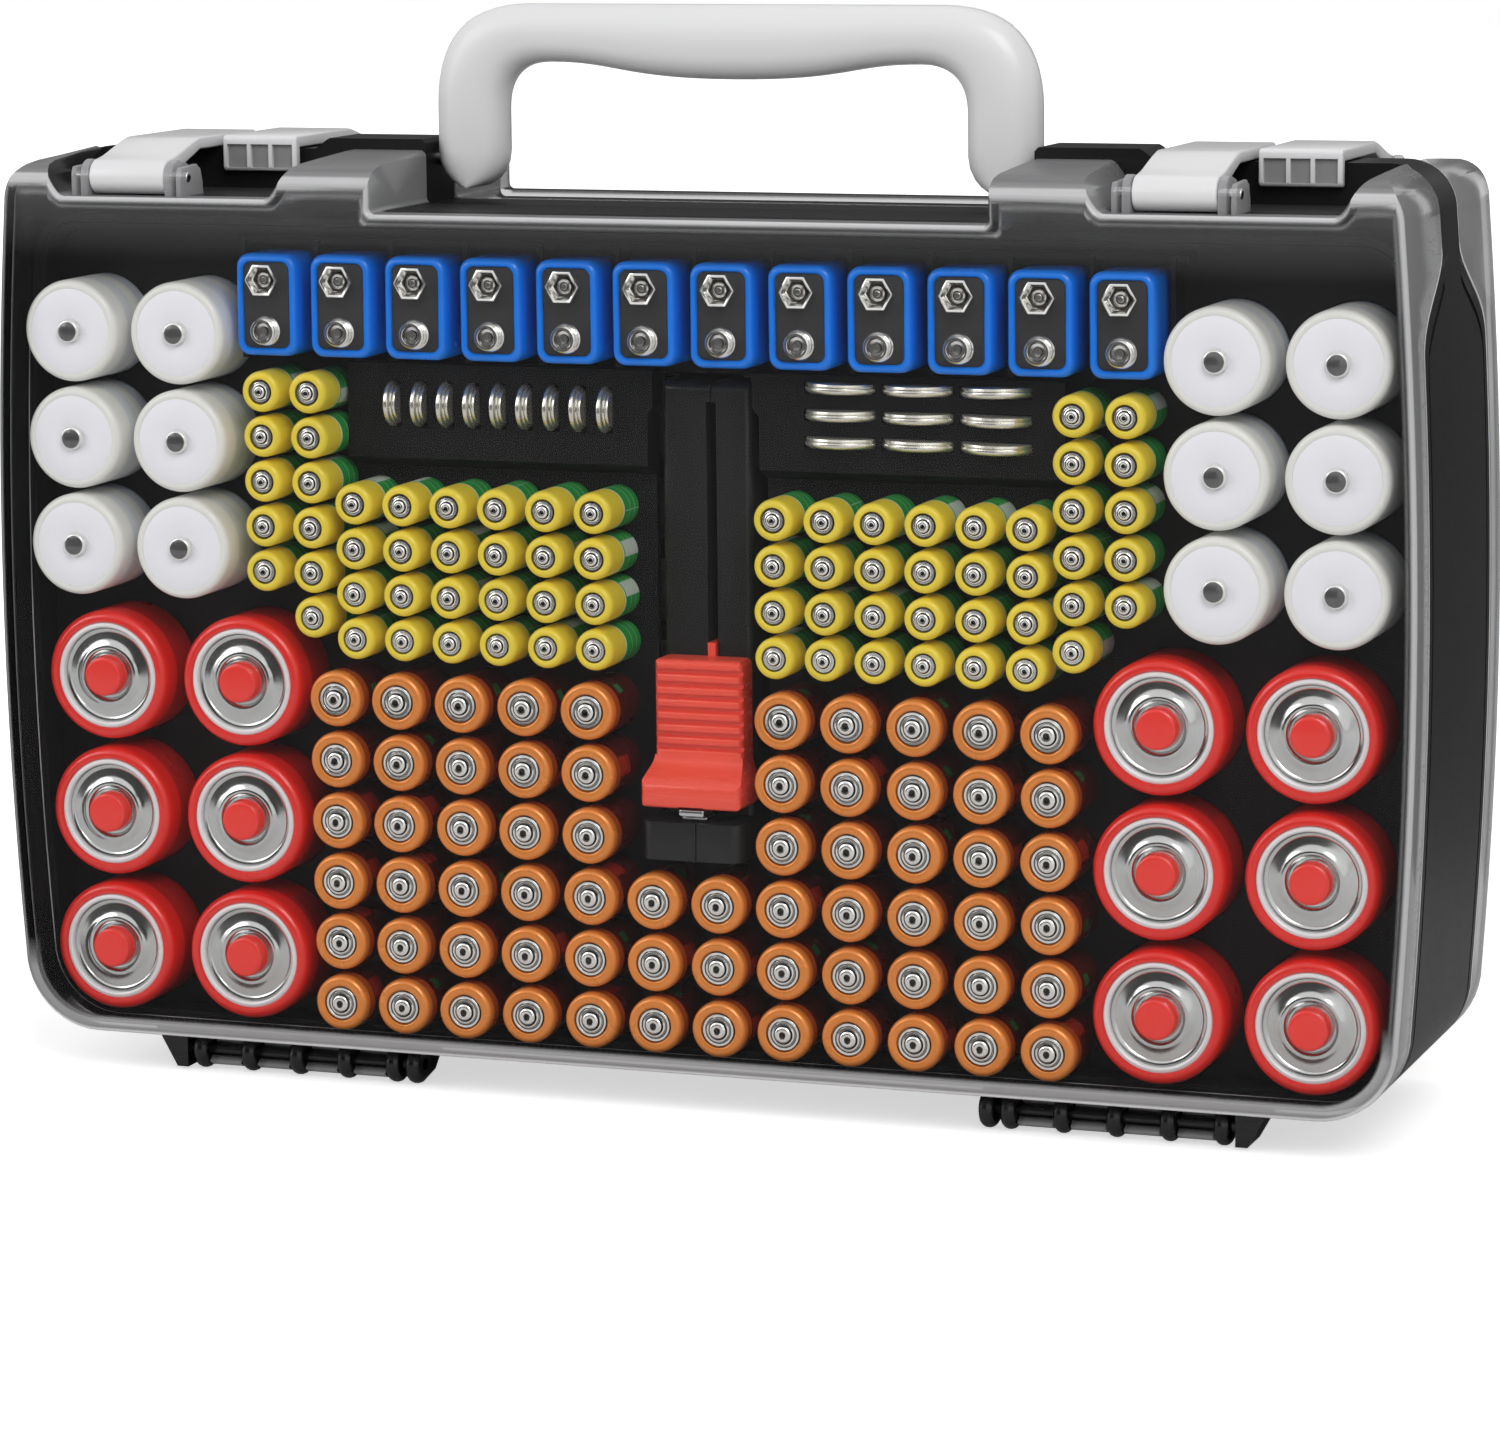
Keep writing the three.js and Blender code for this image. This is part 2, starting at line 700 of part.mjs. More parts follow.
function latchPin(x) {
  const reach = latchWidth / 2 + earWidth + clearance * 2;
  return rodX(x - reach, x + reach, rollY, rollZ, latchPinRadius, earSides);
}

function hingePin() {
  const starts = discStarts();
  const end = starts[hingeDiscCount - 1] + hingeDiscThickness + hingeLugGap + bracketEnd - clearance;
  return rodX(hingeStart, end, -hingeY, hingeZ, hingePinRadius, hingeSides);
}

const pivotZ = bodyTop - centreRecessDepth + handlePivotAboveRecess;

// Middle frame: side walls and floor between the covers, an inner box under their
// tops and a spine that stands between the latches.
function frameSolid() {
  const front = -faceY + rimDepth + clearance;
  const wall = slab(coverOutline(0), front, -front);
  const fence = behindParting(clearance);
  const outer = wall.intersect(fence.add(turnedAround(fence)));
  const lowerCut = slab(boxOutline(frameWall, coverWall + clearance + upperWall), -caseDepth, caseDepth);
  const upper = slab(boxOutline(frameWall / 2, coverWall + clearance), front, -front);
  const low = block(0, 0, stepZ / 2, caseWidth * 2, caseDepth, stepZ);
  const spine = slab(spineOutline(), -spineHalf, spineHalf);
  const hinge = frameHinge();
  const hinges = [hinge, mirroredX(hinge)];
  const body = cutBy(joined([outer, upper.subtract(low), spine]), [lowerCut]);
  const pinBore = handlePinRadius + clearance;
  const bores = [-1, 1].map((side) => {
    const start = side < 0 ? -centreRecessHalf - handlePinSeat - clearance : 0;
    const end = side < 0 ? 0 : centreRecessHalf + handlePinSeat + clearance;
    return rodX(start, end, 0, pivotZ, pinBore, hingeSides);
  });
  return cutBy(joined([body, ...hinges, ...hinges.map(turnedAround)]), bores);
}

// Spine seen from the front: level shoulders, raised bars and a lowered centre.
function spineOutline() {
  const top = bodyTop;
  const side = rightSide(0, 0, top, topCornerRadius);
  const right = side.concat([
    [barEnd, top],
    [barEnd - barSlope, top + barRise],
    [centreRecessHalf + clearance, top + barRise],
    [centreRecessHalf + clearance, top - centreRecessDepth],
  ]);
  return shapeOf(right.concat(mirrored(right)));
}

// Handle seen from the front, with its grip bulging downwards in the middle.
function handleShape() {
  const foot = pivotZ - footRadius + handlePinRadius;
  const inner = handleHalfWidth - handleLegWidth;
  const under = handleTop - handleBar;
  const shape = new THREE.Shape();
  shape.moveTo(-handleHalfWidth, foot + footRadius);
  shape.quadraticCurveTo(-handleHalfWidth, foot, -handleHalfWidth + footRadius, foot);
  shape.quadraticCurveTo(-inner, foot, -inner, foot + footRadius);
  shape.lineTo(-inner, under - handleInnerRadius);
  shape.quadraticCurveTo(-inner, under, -inner + handleInnerRadius, under);
  shape.bezierCurveTo(-inner / 2, under, -inner / 2, under - gripBulge, 0, under - gripBulge);
  shape.bezierCurveTo(inner / 2, under - gripBulge, inner / 2, under, inner - handleInnerRadius, under);
  shape.quadraticCurveTo(inner, under, inner, under - handleInnerRadius);
  shape.lineTo(inner, foot + footRadius);
  shape.quadraticCurveTo(inner, foot, handleHalfWidth - footRadius, foot);
  shape.quadraticCurveTo(handleHalfWidth, foot, handleHalfWidth, foot + footRadius);
  shape.lineTo(handleHalfWidth, handleTop - handleOuterRadius);
  shape.quadraticCurveTo(handleHalfWidth, handleTop, handleHalfWidth - handleOuterRadius, handleTop);
  shape.lineTo(-handleHalfWidth + handleOuterRadius, handleTop);
  shape.quadraticCurveTo(-handleHalfWidth, handleTop, -handleHalfWidth, handleTop - handleOuterRadius);
  return shape;
}

function handleSolid() {
  const geometry = new THREE.ExtrudeGeometry(handleShape(), {
    depth: handleDepth - handleEdge * 2,
    bevelEnabled: true,
    bevelThickness: handleEdge,
    bevelSize: handleEdge,
    bevelOffset: -handleEdge,
    bevelSegments: 2,
    curveSegments: 5,
  });
  geometry.rotateX(Math.PI / 2);
  geometry.translate(0, handleDepth / 2 - handleEdge, 0);
  const solid = toSolid(geometry);
  const bores = [-1, 1].map((side) => {
    const outer = handleHalfWidth + overrun;
    const inner = handleHalfWidth - (handlePinLength - handlePinSeat) - clearance;
    return side < 0
      ? rodX(-outer, -inner, 0, pivotZ, handlePinRadius + clearance, hingeSides)
      : rodX(inner, outer, 0, pivotZ, handlePinRadius + clearance, hingeSides);
  });
  return cutBy(solid, bores);
}

function handlePin(side) {
  const inner = centreRecessHalf + handlePinSeat - handlePinLength;
  const outer = centreRecessHalf + handlePinSeat;
  return side < 0
    ? rodX(-outer, -inner, 0, pivotZ, handlePinRadius, hingeSides)
    : rodX(inner, outer, 0, pivotZ, handlePinRadius, hingeSides);
}

// An XY shape pulled up along Z.
function column(points, zBottom, zTop) {
  const depth = zTop - zBottom;
  const geometry = new THREE.ExtrudeGeometry(shapeOf(points), { depth, bevelEnabled: false });
  geometry.translate(0, 0, zBottom);
  return toSolid(geometry);
}

// A profile of radius and distance from the back, turned about a cell's own axis.
// The positive end faces the front.
function turned(points, x, yBack, z, sides) {
  const geometry = new THREE.LatheGeometry(points.map(([r, y]) => new THREE.Vector2(r, y)), sides);
  geometry.rotateX(Math.PI);
  geometry.translate(x, yBack, z);
  return toSolid(geometry);
}

// A large round cell: can, a sunk face inside its front ring, a nub.
function largeCell(x, z, size) {
  const { radius, length, nubRadius, nubHeight } = size;
  const ring = radius * ringShare;
  const sunk = length - (radius - ring) / 2;
  return turned([
    [0, 0],
    [radius, 0],
    [radius, length],
    [ring, length],
    [ring, sunk],
    [nubRadius, sunk],
    [nubRadius, length + nubHeight],
    [0, length + nubHeight],
  ], x, size.back, z, pocketSides);
}

const dSize = {
  radius: dRadius,
  length: dLength,
  nubRadius: dNubRadius,
  nubHeight: dNubHeight,
  back: -faceY + dFace + dLength,
};

const cSize = {
  radius: cRadius,
  length: cLength,
  nubRadius: cNubRadius,
  nubHeight: cNubHeight,
  back: -faceY + cFace + cLength,
};

// Places of the large cells of one size: two columns on each side.
function largePlaces(columns, topZ, pitch, rows) {
  const places = [];
  [-1, 1].forEach((side) => {
    columns.forEach((x) => {
      for (let row = 0; row < rows; row += 1) places.push([side * x, topZ - row * pitch]);
    });
  });
  return places;
}

const dPlaces = largePlaces(dColumns, dTopZ, dPitch, dRows);
const cPlaces = largePlaces(cColumns, cTopZ, cPitch, cRows);
const frontFloorY = -faceY + frontTrayRecess;
const trayInset = frameWall + clearance;
const trayUpperInset = coverWall + clearance + upperWall + clearance;

// Block behind the floor that holds one side's large cells of one size.
function pocketBlock(side, columns, topZ, pitch, rows, size) {
  const reach = size.radius + cellClearance + trayWall;
  const left = columns[0] - reach;
  const right = columns[1] + reach;
  const bottom = topZ - (rows - 1) * pitch - reach;
  const top = topZ + reach;
  const back = size.back + cellClearance + pocketBottom;
  return block((side * (left + right)) / 2, (frontFloorY + back) / 2, (bottom + top) / 2,
    right - left, back - frontFloorY, top - bottom);
}

function cupBore(x, z, size) {
  return rodY(x, -faceY, size.back + cellClearance, z, size.radius + cellClearance, pocketSides);
}

// A small cell that stands in the tray's floor.
function smallCell(x, z, radius, face) {
  return rodY(x, -faceY + face, frontFloorY + trayFloor / 2, z, radius, smallSides);
}

// Places of the standing cells of the middle size, a block with a gap under the tester.
function aaPlaces() {
  const places = [];
  for (let column = 0; column < aaColumns; column += 1) {
    const fromCentre = column - (aaColumns - 1) / 2;
    const short = Math.abs(fromCentre) < aaShortColumns / 2;
    for (let row = short ? aaShortFrom : 0; row < aaRows; row += 1) {
      places.push([fromCentre * aaPitchX, aaTopZ - row * aaPitchZ]);
    }
  }
  return places;
}

// Places of the thin standing cells: a block and two longer outer columns on each side.
function aaaPlaces() {
  const places = [];
  [-1, 1].forEach((side) => {
    for (let column = 0; column < aaaColumns; column += 1) {
      for (let row = 0; row < aaaRows; row += 1) {
        places.push([side * (aaaFirstX + column * aaaPitchX), aaaTopZ - row * aaaPitchZ]);
      }
    }
    aaaOuterRows.forEach((rows, column) => {
      for (let row = 0; row < rows; row += 1) {
        places.push([side * (aaaOuterX + column * aaaPitchX), aaaOuterTopZ - row * aaaPitchZ]);
      }
    });
  });
  return places;
}

// A block cell with rounded corners and its two terminals, one above the other.
function blockCell(x) {
  const halfWidth = blockWidth / 2;
  const halfHeight = blockHeight / 2;
  const corner = blockCorner;
  const right = [
    [x + halfWidth - corner, blockZ - halfHeight],
    [x + halfWidth, blockZ - halfHeight + corner],
    [x + halfWidth, blockZ + halfHeight - corner],
    [x + halfWidth - corner, blockZ + halfHeight],
  ];
  const left = right.map(([px, pz]) => [x * 2 - px, pz]).reverse();
  const face = -faceY + blockFace;
  const body = slab(shapeOf(right.concat(left)), face, frontFloorY + trayFloor / 2);
  const terminals = [-1, 1].map((side) => {
    const z = blockZ + (side * terminalSpacing) / 2;
    return rodY(x, face - terminalHeight, face + terminalHeight, z, terminalRadius, smallSides);
  });
  return joined([body, ...terminals]);
}

// Button cells on edge, side by side, half sunk in the floor.
function buttonCells() {
  return Array.from({ length: buttonCount }, (_, i) => {
    const x = buttonFirstX + i * buttonPitch;
    const y = -faceY + buttonFace + buttonRadius;
    return rodX(x - buttonThickness / 2, x + buttonThickness / 2, y, buttonZ, buttonRadius, earSides);
  });
}

// Coin cells on edge in a square pattern, lying level.
function coinCells() {
  const cells = [];
  for (let column = 0; column < coinGrid; column += 1) {
    for (let row = 0; row < coinGrid; row += 1) {
      const geometry = new THREE.CylinderGeometry(coinRadius, coinRadius, coinThickness, earSides);
      geometry.rotateX(Math.PI / 2);
      const x = coinFirstX + column * coinPitchX;
      geometry.translate(x, -faceY + coinFace + coinRadius, coinTopZ - row * coinPitchZ);
      cells.push(toSolid(geometry));
    }
  }
  return cells;
}

// Dish that closes one side of the frame: a floor with a rim forward to the frame's edge.
function trayDish(floorY) {
  const rimFront = -faceY + rimDepth + clearance;
  const outer = slab(boxOutline(trayInset, trayUpperInset), rimFront, floorY + trayFloor);
  const inner = slab(boxOutline(trayInset + trayWall, trayUpperInset + trayWall), -caseDepth, floorY);
  return outer.subtract(inner);
}

function frontTray() {
  const pockets = [-1, 1].flatMap((side) => [
    pocketBlock(side, dColumns, dTopZ, dPitch, dRows, dSize),
    pocketBlock(side, cColumns, cTopZ, cPitch, cRows, cSize),
  ]);
  const outline = slab(boxOutline(trayInset, trayUpperInset), -caseDepth, caseDepth);
  const dBores = dPlaces.map(([x, z]) => cupBore(x, z, dSize));
  const cBores = cPlaces.map(([x, z]) => cupBore(x, z, cSize));
  const small = aaPlaces().map(([x, z]) => smallCell(x, z, aaRadius, aaFace));
  const thin = aaaPlaces().map(([x, z]) => smallCell(x, z, aaaRadius, aaaFace));
  const firstBlockX = (-(blockCount - 1) / 2) * blockPitch;
  const blocks = Array.from({ length: blockCount }, (_, i) => blockCell(firstBlockX + i * blockPitch));
  const well = block(testerX, frontFloorY, testerBottom + testerHeight / 2,
    testerWidth + clearance * 2, testerDepth, testerHeight + clearance * 2);
  const shelves = [-1, 1].map((side) => (
    block((side * (shelfInner + shelfOuter)) / 2, (-faceY + shelfFace + frontFloorY + trayFloor) / 2,
      (shelfBottom + shelfTop) / 2, shelfOuter - shelfInner, frontTrayRecess + trayFloor - shelfFace,
      shelfTop - shelfBottom)
  ));
  const blocked = joined([trayDish(frontFloorY), ...shelves, ...pockets]).intersect(outline);
  const tray = cutBy(blocked, [...dBores, ...cBores, well]);
  return joined([tray, ...small, ...thin, ...blocks, ...buttonCells(), ...coinCells()]);
}

// A cell that lies in the back tray, its axis level.
function lyingCell(x, z, length, radius) {
  const y = -faceY + backCellFace + radius;
  return rodX(x - length / 2, x + length / 2, y, z, radius, smallSides);
}

// Cells one above the other, on both sides of the middle unless they stand in it.
function lyingColumns({ x, top, pitch, count, length, radius }) {
  const sides = x === 0 ? [1] : [-1, 1];
  return sides.flatMap((side) => (
    Array.from({ length: count }, (_, i) => {
      const z = bodyBottom + (top - i * pitch) * bodyHeight;
      return lyingCell(side * x * caseWidth, z, length, radius);
    })
  ));
}

// Cells side by side across the case.
function lyingRow({ z, pitch, count, length, radius }) {
  const height = bodyBottom + z * bodyHeight;
  return Array.from({ length: count }, (_, i) => {
    const x = (i - (count - 1) / 2) * pitch * caseWidth;
    return lyingCell(x, height, length, radius);
  });
}

// Back tray as it is seen from behind: a raised floor that the cells lie in, with a
// rim that goes back into the frame.
function backTray() {
  const floorY = -faceY + backTrayRecess;
  const outer = slab(boxOutline(trayInset, trayUpperInset), floorY, floorY + backTrayDepth);
  const inner = slab(boxOutline(trayInset + trayWall, trayUpperInset + trayWall), floorY + trayFloor, 0);
  const columns = lyingShares.flatMap(lyingColumns);
  const rows = [...lyingRow(topRowShares), ...lyingRow(bottomRowShares)];
  return joined([outer, ...columns, ...rows]).subtract(inner);
}

const testerFront = -faceY + testerFace;
const testerBack = testerFront + testerDepth;
const slotX = testerX + testerSlotOffset;
const slotTop = testerTop - testerSlotMargin;
const footTop = testerBottom + testerFootHeight;
const sliderBottom = footTop + sliderFromFoot;

// One half of the tester's housing with its half of the foot. The halves meet at the
// slot that guides the slider.
function testerShell(side) {
  const split = slotX + (side * clearance) / 2;
  const outer = testerX + (side * testerWidth) / 2;
  const footOuter = testerX + (side * testerFootWidth) / 2;
  const footFront = -faceY + testerFootFace;
  const body = column([
    [split, testerBack],
    [outer, testerBack],
    [outer, testerFront + testerCorner],
    [outer - side * testerCorner, testerFront],
    [split, testerFront],
  ], testerBottom, testerTop);
  const foot = column([
    [split, testerFront + testerCorner],
    [outer, testerFront + testerCorner],
    [footOuter, testerFront],
    [footOuter, footFront + testerFootRound],
    [footOuter - side * testerFootRound, footFront],
    [split, footFront],
  ], testerBottom, footTop);
  const slotHeight = slotTop - footTop;
  const slotMiddle = (slotTop + footTop) / 2;
  const slot = block(slotX, testerFront, slotMiddle, testerSlot, testerSlotDepth * 2, slotHeight);
  const channel = block(slotX, testerFront + testerSlotDepth + testerChannelDepth / 2, slotMiddle,
    testerChannel, testerChannelDepth, slotHeight);
  return cutBy(body.add(foot), [slot, channel]);
}

// Slider: a ribbed neck over a wide lip that comes forward, with a headed nub that
// runs in the housing's slot.
function testerSlider() {
  const back = testerFront - clearance;
  const neck = -faceY + sliderNeckFace;
  const front = -faceY + sliderFace;
  const top = sliderBottom + sliderHeight;
  const lipTop = sliderBottom + sliderLip;
  const pitch = (top - lipTop) / (sliderRibs + 1);
  const ribs = [];
  for (let i = 0; i < sliderRibs; i += 1) {
    const z = lipTop + pitch * (i + 1);
    ribs.push([neck, z - pitch / 4], [neck + sliderRib, z], [neck, z + pitch / 4]);
  }
  const neckBody = bar([[back, sliderBottom], [neck, sliderBottom], ...ribs, [neck, top - sliderRib],
    [neck + sliderRib, top], [back, top]], testerX - sliderNeckWidth / 2, testerX + sliderNeckWidth / 2);
  const lip = bar([
    [back, sliderBottom],
    [front + sliderRib, sliderBottom],
    [front, sliderBottom + sliderRib],
    [front, sliderBottom + sliderLip / 3],
    [front + sliderRib * 2, sliderBottom + (sliderLip * 2) / 3],
    [neck - sliderRib, lipTop - sliderRib],
    [neck + sliderRib, lipTop + sliderRib],
    [back, lipTop],
  ], testerX - sliderWidth / 2, testerX + sliderWidth / 2);
  const nubTop = top + sliderNubRise;
  const nubMiddle = nubTop - sliderNub / 2;
  const channelFront = testerFront + testerSlotDepth;
  const headFront = channelFront + clearance;
  const headBack = channelFront + testerChannelDepth - clearance;
  const stemFront = back - sliderRib;
  const stem = block(slotX, (stemFront + headBack) / 2, nubMiddle,
    testerSlot - clearance * 2, headBack - stemFront, sliderNub);
  const head = block(slotX, (headFront + headBack) / 2, nubMiddle,
    testerChannel - clearance * 2, headBack - headFront, sliderNub);
  return joined([neckBody, lip, stem, head]);
}

// Flat steel contact under the slider.
function sliderContact() {
  const front = -faceY + sliderFace + sliderRib;
  const top = sliderBottom - clearance;
  return block(testerX, front + contactDepth / 2, top - contactHeight / 2,
    contactWidth, contactDepth, contactHeight);
}

// Flat steel contact on the foot.
function baseContact() {
  const front = -faceY + testerFootFace + testerFootRound;
  return block(testerX, front + contactDepth / 2, footTop + clearance + baseContactHeight / 2,
    contactWidth, contactDepth, baseContactHeight);
}

const organizer = new THREE.Group();
addPiece(organizer, 'middle_frame', frameSolid(), plasticBlack);
addPiece(organizer, 'front_tray', frontTray(), plasticBlack);
addPiece(organizer, 'back_tray', turnedAround(backTray()), plasticBlack);

const cover = coverSolid();
addPiece(organizer, 'front_cover', cover, smokeClear);
addPiece(organizer, 'back_cover', turnedAround(cover), smokeClear);

latchCentres.forEach((x, i) => {
  const ends = ['left', 'right'];
  const latch = latchSolid(x);
  const pin = latchPin(x);
  addPiece(organizer, `front_latch_${ends[i]}`, latch, latchWhite);
  addPiece(organizer, `front_latch_pin_${ends[i]}`, pin, pinSteel);
  addPiece(organizer, `back_latch_${ends[1 - i]}`, turnedAround(latch), latchWhite);
  addPiece(organizer, `back_latch_pin_${ends[1 - i]}`, turnedAround(pin), pinSteel);
});

const rightPin = hingePin();
addPiece(organizer, 'front_hinge_pin_right', rightPin, pinBlack);
addPiece(organizer, 'front_hinge_pin_left', mirroredX(rightPin), pinBlack);
addPiece(organizer, 'back_hinge_pin_left', turnedAround(rightPin), pinBlack);
addPiece(organizer, 'back_hinge_pin_right', turnedAround(mirroredX(rightPin)), pinBlack);

addPiece(organizer, 'handle', handleSolid(), handleGrey);
addPiece(organizer, 'handle_pin_left', handlePin(-1), pinSteel);
addPiece(organizer, 'handle_pin_right', handlePin(1), pinSteel);

addPiece(organizer, 'tester_shell_left', testerShell(-1), plasticBlack);
addPiece(organizer, 'tester_shell_right', testerShell(1), plasticBlack);
addPiece(organizer, 'tester_slider', testerSlider(), sliderRed);
addPiece(organizer, 'tester_slider_contact', sliderContact(), pinSteel);
addPiece(organizer, 'tester_base_contact', baseContact(), pinSteel);

dPlaces.forEach(([x, z], i) => addPiece(organizer, `d_cell_${i + 1}`, largeCell(x, z, dSize), dRed));
cPlaces.forEach(([x, z], i) => addPiece(organizer, `c_cell_${i + 1}`, largeCell(x, z, cSize), cWhite));

export default organizer;
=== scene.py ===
"""Looks of the battery organizer case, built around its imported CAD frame.

Blender add-on layout: settings, one operator for each piece or group of like pieces,
one for the stage, and a panel that lists them. Lengths are millimetres in the row
frame (+Z up, the front faces -Y) and become metres when a mesh is made.
"""
import math

import bmesh
import bpy
from mathutils import Euler, Matrix, Vector


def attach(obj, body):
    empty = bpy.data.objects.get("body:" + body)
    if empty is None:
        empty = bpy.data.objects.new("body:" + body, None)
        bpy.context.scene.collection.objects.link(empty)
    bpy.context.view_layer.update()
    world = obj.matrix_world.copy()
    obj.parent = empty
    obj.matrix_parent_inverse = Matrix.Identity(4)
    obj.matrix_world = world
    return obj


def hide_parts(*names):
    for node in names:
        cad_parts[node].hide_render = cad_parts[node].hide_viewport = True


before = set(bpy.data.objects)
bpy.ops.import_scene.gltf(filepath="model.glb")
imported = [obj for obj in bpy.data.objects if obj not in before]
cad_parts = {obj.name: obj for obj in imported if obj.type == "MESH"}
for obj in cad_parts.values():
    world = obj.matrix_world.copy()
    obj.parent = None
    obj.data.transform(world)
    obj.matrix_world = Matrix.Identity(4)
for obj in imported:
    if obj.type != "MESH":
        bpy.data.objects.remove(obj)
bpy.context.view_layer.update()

bl_info = {
    "name": "Battery organizer case",
    "version": (1, 0, 0),
    "blender": (4, 5, 0),
    "location": "3D View > Sidebar > Organizer",
    "description": "Builds the visible pieces and materials of a battery organizer case",
    "category": "Object",
}

MM = 0.001

# Sizes that follow the CAD frame
CASE_WIDTH = 367
CASE_DEPTH = 94
BODY_HEIGHT = 224
SIDE_BOW = 5
TOP_CORNER = 12
BOTTOM_CORNER = 20
CLEARANCE = 0.3
BODY_BOTTOM = 10.3
BODY_TOP = BODY_BOTTOM + BODY_HEIGHT
MIDDLE_Z = BODY_BOTTOM + BODY_HEIGHT / 2
FACE_Y = CASE_DEPTH / 2
OVERRUN = 5
CORNER_STEPS = 12
SIDE_STEPS = 16
CURVE_STEPS = 10
ROUND_SIDES = 40

# Hinges
HINGE_Y = 34
HINGE_Z = 5
DISC_RADIUS = 5
PIN_RADIUS = 1.75
HINGE_START = 74
DISC_THICKNESS = 4
DISC_PITCH = 13.4
DISC_COUNT = 5
LUG_GAP = 1.5
HOOK_THICKNESS = 2
WEB_LENGTH = 16
BRACKET_LENGTH = 9
BRACKET_END = 3

# Covers and frame
COVER_WALL = 2
RIM_DEPTH = 14
FACE_BEVEL = 2.4
SPINE_HALF = 9
PARTING_LOW = 188
PARTING_HIGH = 214
HOOD_RISE = 6.5
HOOD_RUN = 10
HOOD_SLOPE = 1.8
LATCH_RECESS = (106, 164.5)
LATCH_RECESS_DEPTH = 10.1
RECESS_SLOPE = 7
CENTRE_HALF = 79.5
CENTRE_DEPTH = 13.3
RECESS_FILLET = 1.6
COVER_EDGE = 0.3
HAZE_LOW = 200
# Width of the light strip along each cover's parting edge, a painted highlight
EDGE_HIGHLIGHT_WIDTH = 0.5
HEM_WIDTH = 3.8
RECESS_EDGE = 39
FRAME_WALL = 2.2
UPPER_WALL = 2
BOX_CORNER = 14
STEP_Z = 196
BAR_RISE = 2.7
BAR_END = 110
BAR_SLOPE = 4
GROOVE_OFFSET = 2.6
GROOVE_WIDTH = 1.1
GROOVE_DEPTH = 0.45
FRAME_EDGE = 0.3
METAL_EDGE = 0.3

# Latches
LATCH_WIDTH = 20.5
LATCH_CENTRES = {"left": -146.5, "right": 124}
ROLL_RADIUS = 4.3
LATCH_PIN_RADIUS = 1.3
ROLL_Y = -39
ROLL_Z = 228.8
PLATE_TOP = 237.6
LATCH_PLATE = 3
LATCH_LIP = 2.6
LATCH_LIP_DROP = 6
LATCH_LIP_GAP = 0.9
LATCH_LIP_TOP = 2.2
LATCH_RAMP = 18
EAR_WIDTH = 4.6
EAR_DEPTH = 9
EAR_EDGE = 0.35

# Handle
HANDLE_HALF = 79.2
HANDLE_LEG = 18.6
HANDLE_DEPTH = 14
HANDLE_TOP = 270.6
HANDLE_BAR = 14.5
GRIP_BULGE = 4
HANDLE_OUTER = 25
HANDLE_INNER = 12
HANDLE_PIVOT_Z = 232
HANDLE_PIN_RADIUS = 2
HANDLE_SQUARENESS = 2.35
HANDLE_SIDES = 28
HANDLE_BEND_STEPS = 14
HANDLE_GRIP_STEPS = 16

# Trays
TRAY_WALL = 1.2
TRAY_FLOOR = 2
FRONT_FLOOR_Y = -23
TRAY_INSET = 2.5
TRAY_UPPER_INSET = 4.6
BACK_TRAY_RECESS = 12
BACK_TRAY_DEPTH = 12

# Cells in the front tray
D_CELL = {"radius": 16.6, "length": 60, "front": -40.7, "columns": (119.8, 157.4), "top": 102, "pitch": 35.25}
C_CELL = {"radius": 12.9, "length": 48.5, "front": -43.2, "columns": (134.2, 163.5), "top": 190, "pitch": 27.12}
LARGE_ROWS = 3
AA_RADIUS = 7.1
AA_FRONT = -43
AA_PITCH = (16.92, 15.57)
AA_TOP_Z = 99.2
AA_GRID = (12, 6)
AA_SHORT_FROM = 3
AAA_RADIUS = 5.15
AAA_FRONT = -42.2
AAA_FIRST_X = 23.5
AAA_PITCH = (12.77, 11.3)
AAA_TOP_Z = 148.4
AAA_GRID = (6, 4)
AAA_OUTER_X = 99
AAA_OUTER_TOP_Z = 175.9
AAA_OUTER_ROWS = (6, 5)
BLOCK_SIZE = (16.5, 25.5)
BLOCK_FRONT = -40
BLOCK_PITCH = 20.1
BLOCK_COUNT = 12
BLOCK_Z = 197.4
BLOCK_CORNER = 3.3
TERMINAL_SPACING = 12.8
BLOCK_RIB = {"half": 0.6, "front": -31, "low": -14, "high": 15.5}
BLOCK_LEDGE = {"half": 124, "front": -29.5, "low": 14.5, "high": 16}
BUTTON = {"radius": 5.8, "thick": 2.5, "y": -28.4, "x": -80.6, "pitch": 7.1, "count": 9, "z": 172.6}
SHELF = {"inner": 12, "outer": 93.5, "bottom": 157.5, "top": 182.6, "face": -29}
COIN = {"radius": 10, "thick": 2.7, "y": -24.6, "x": 36.6, "pitch": 19.8, "drop": 6.7, "z": 179.6}

# Battery tester
TESTER_X = 1.2
TESTER_WIDTH = 23.5
TESTER_BOTTOM = 63
TESTER_TOP = 181
TESTER_FRONT = -27
TESTER_ROUND = 2.6
TESTER_EDGE = 0.8
TESTER_BACK = 17
WELL_STEP_Z = 174
WELL_MARGIN = 2.8
FOOT_TOP = 72.4
FOOT_WIDTH = 26
FOOT_FRONT = -41
SLOT_X = 2.55
SLOT_WIDTH = 2.6
SLOT_DEPTH = 7
SLOT_TOP = 175
SLIDER_BOTTOM = 76
SLIDER_TOP = 112.2
SLIDER_LIP_TOP = 87.2
SLIDER_WIDTH = 26.4
NECK_WIDTH = 23
NECK_Y = -35
LIP_Y = -41.5
SLIDER_RIBS = 7
CHANNEL_HALF = 4.5
CHANNEL_DEPTH = 5
TAB_HALF = 3.25
TAB_DEPTH = 6

# Columns of cells lying in the back tray as seen from behind, and rows at its ends
BACK_FACE = 3.4
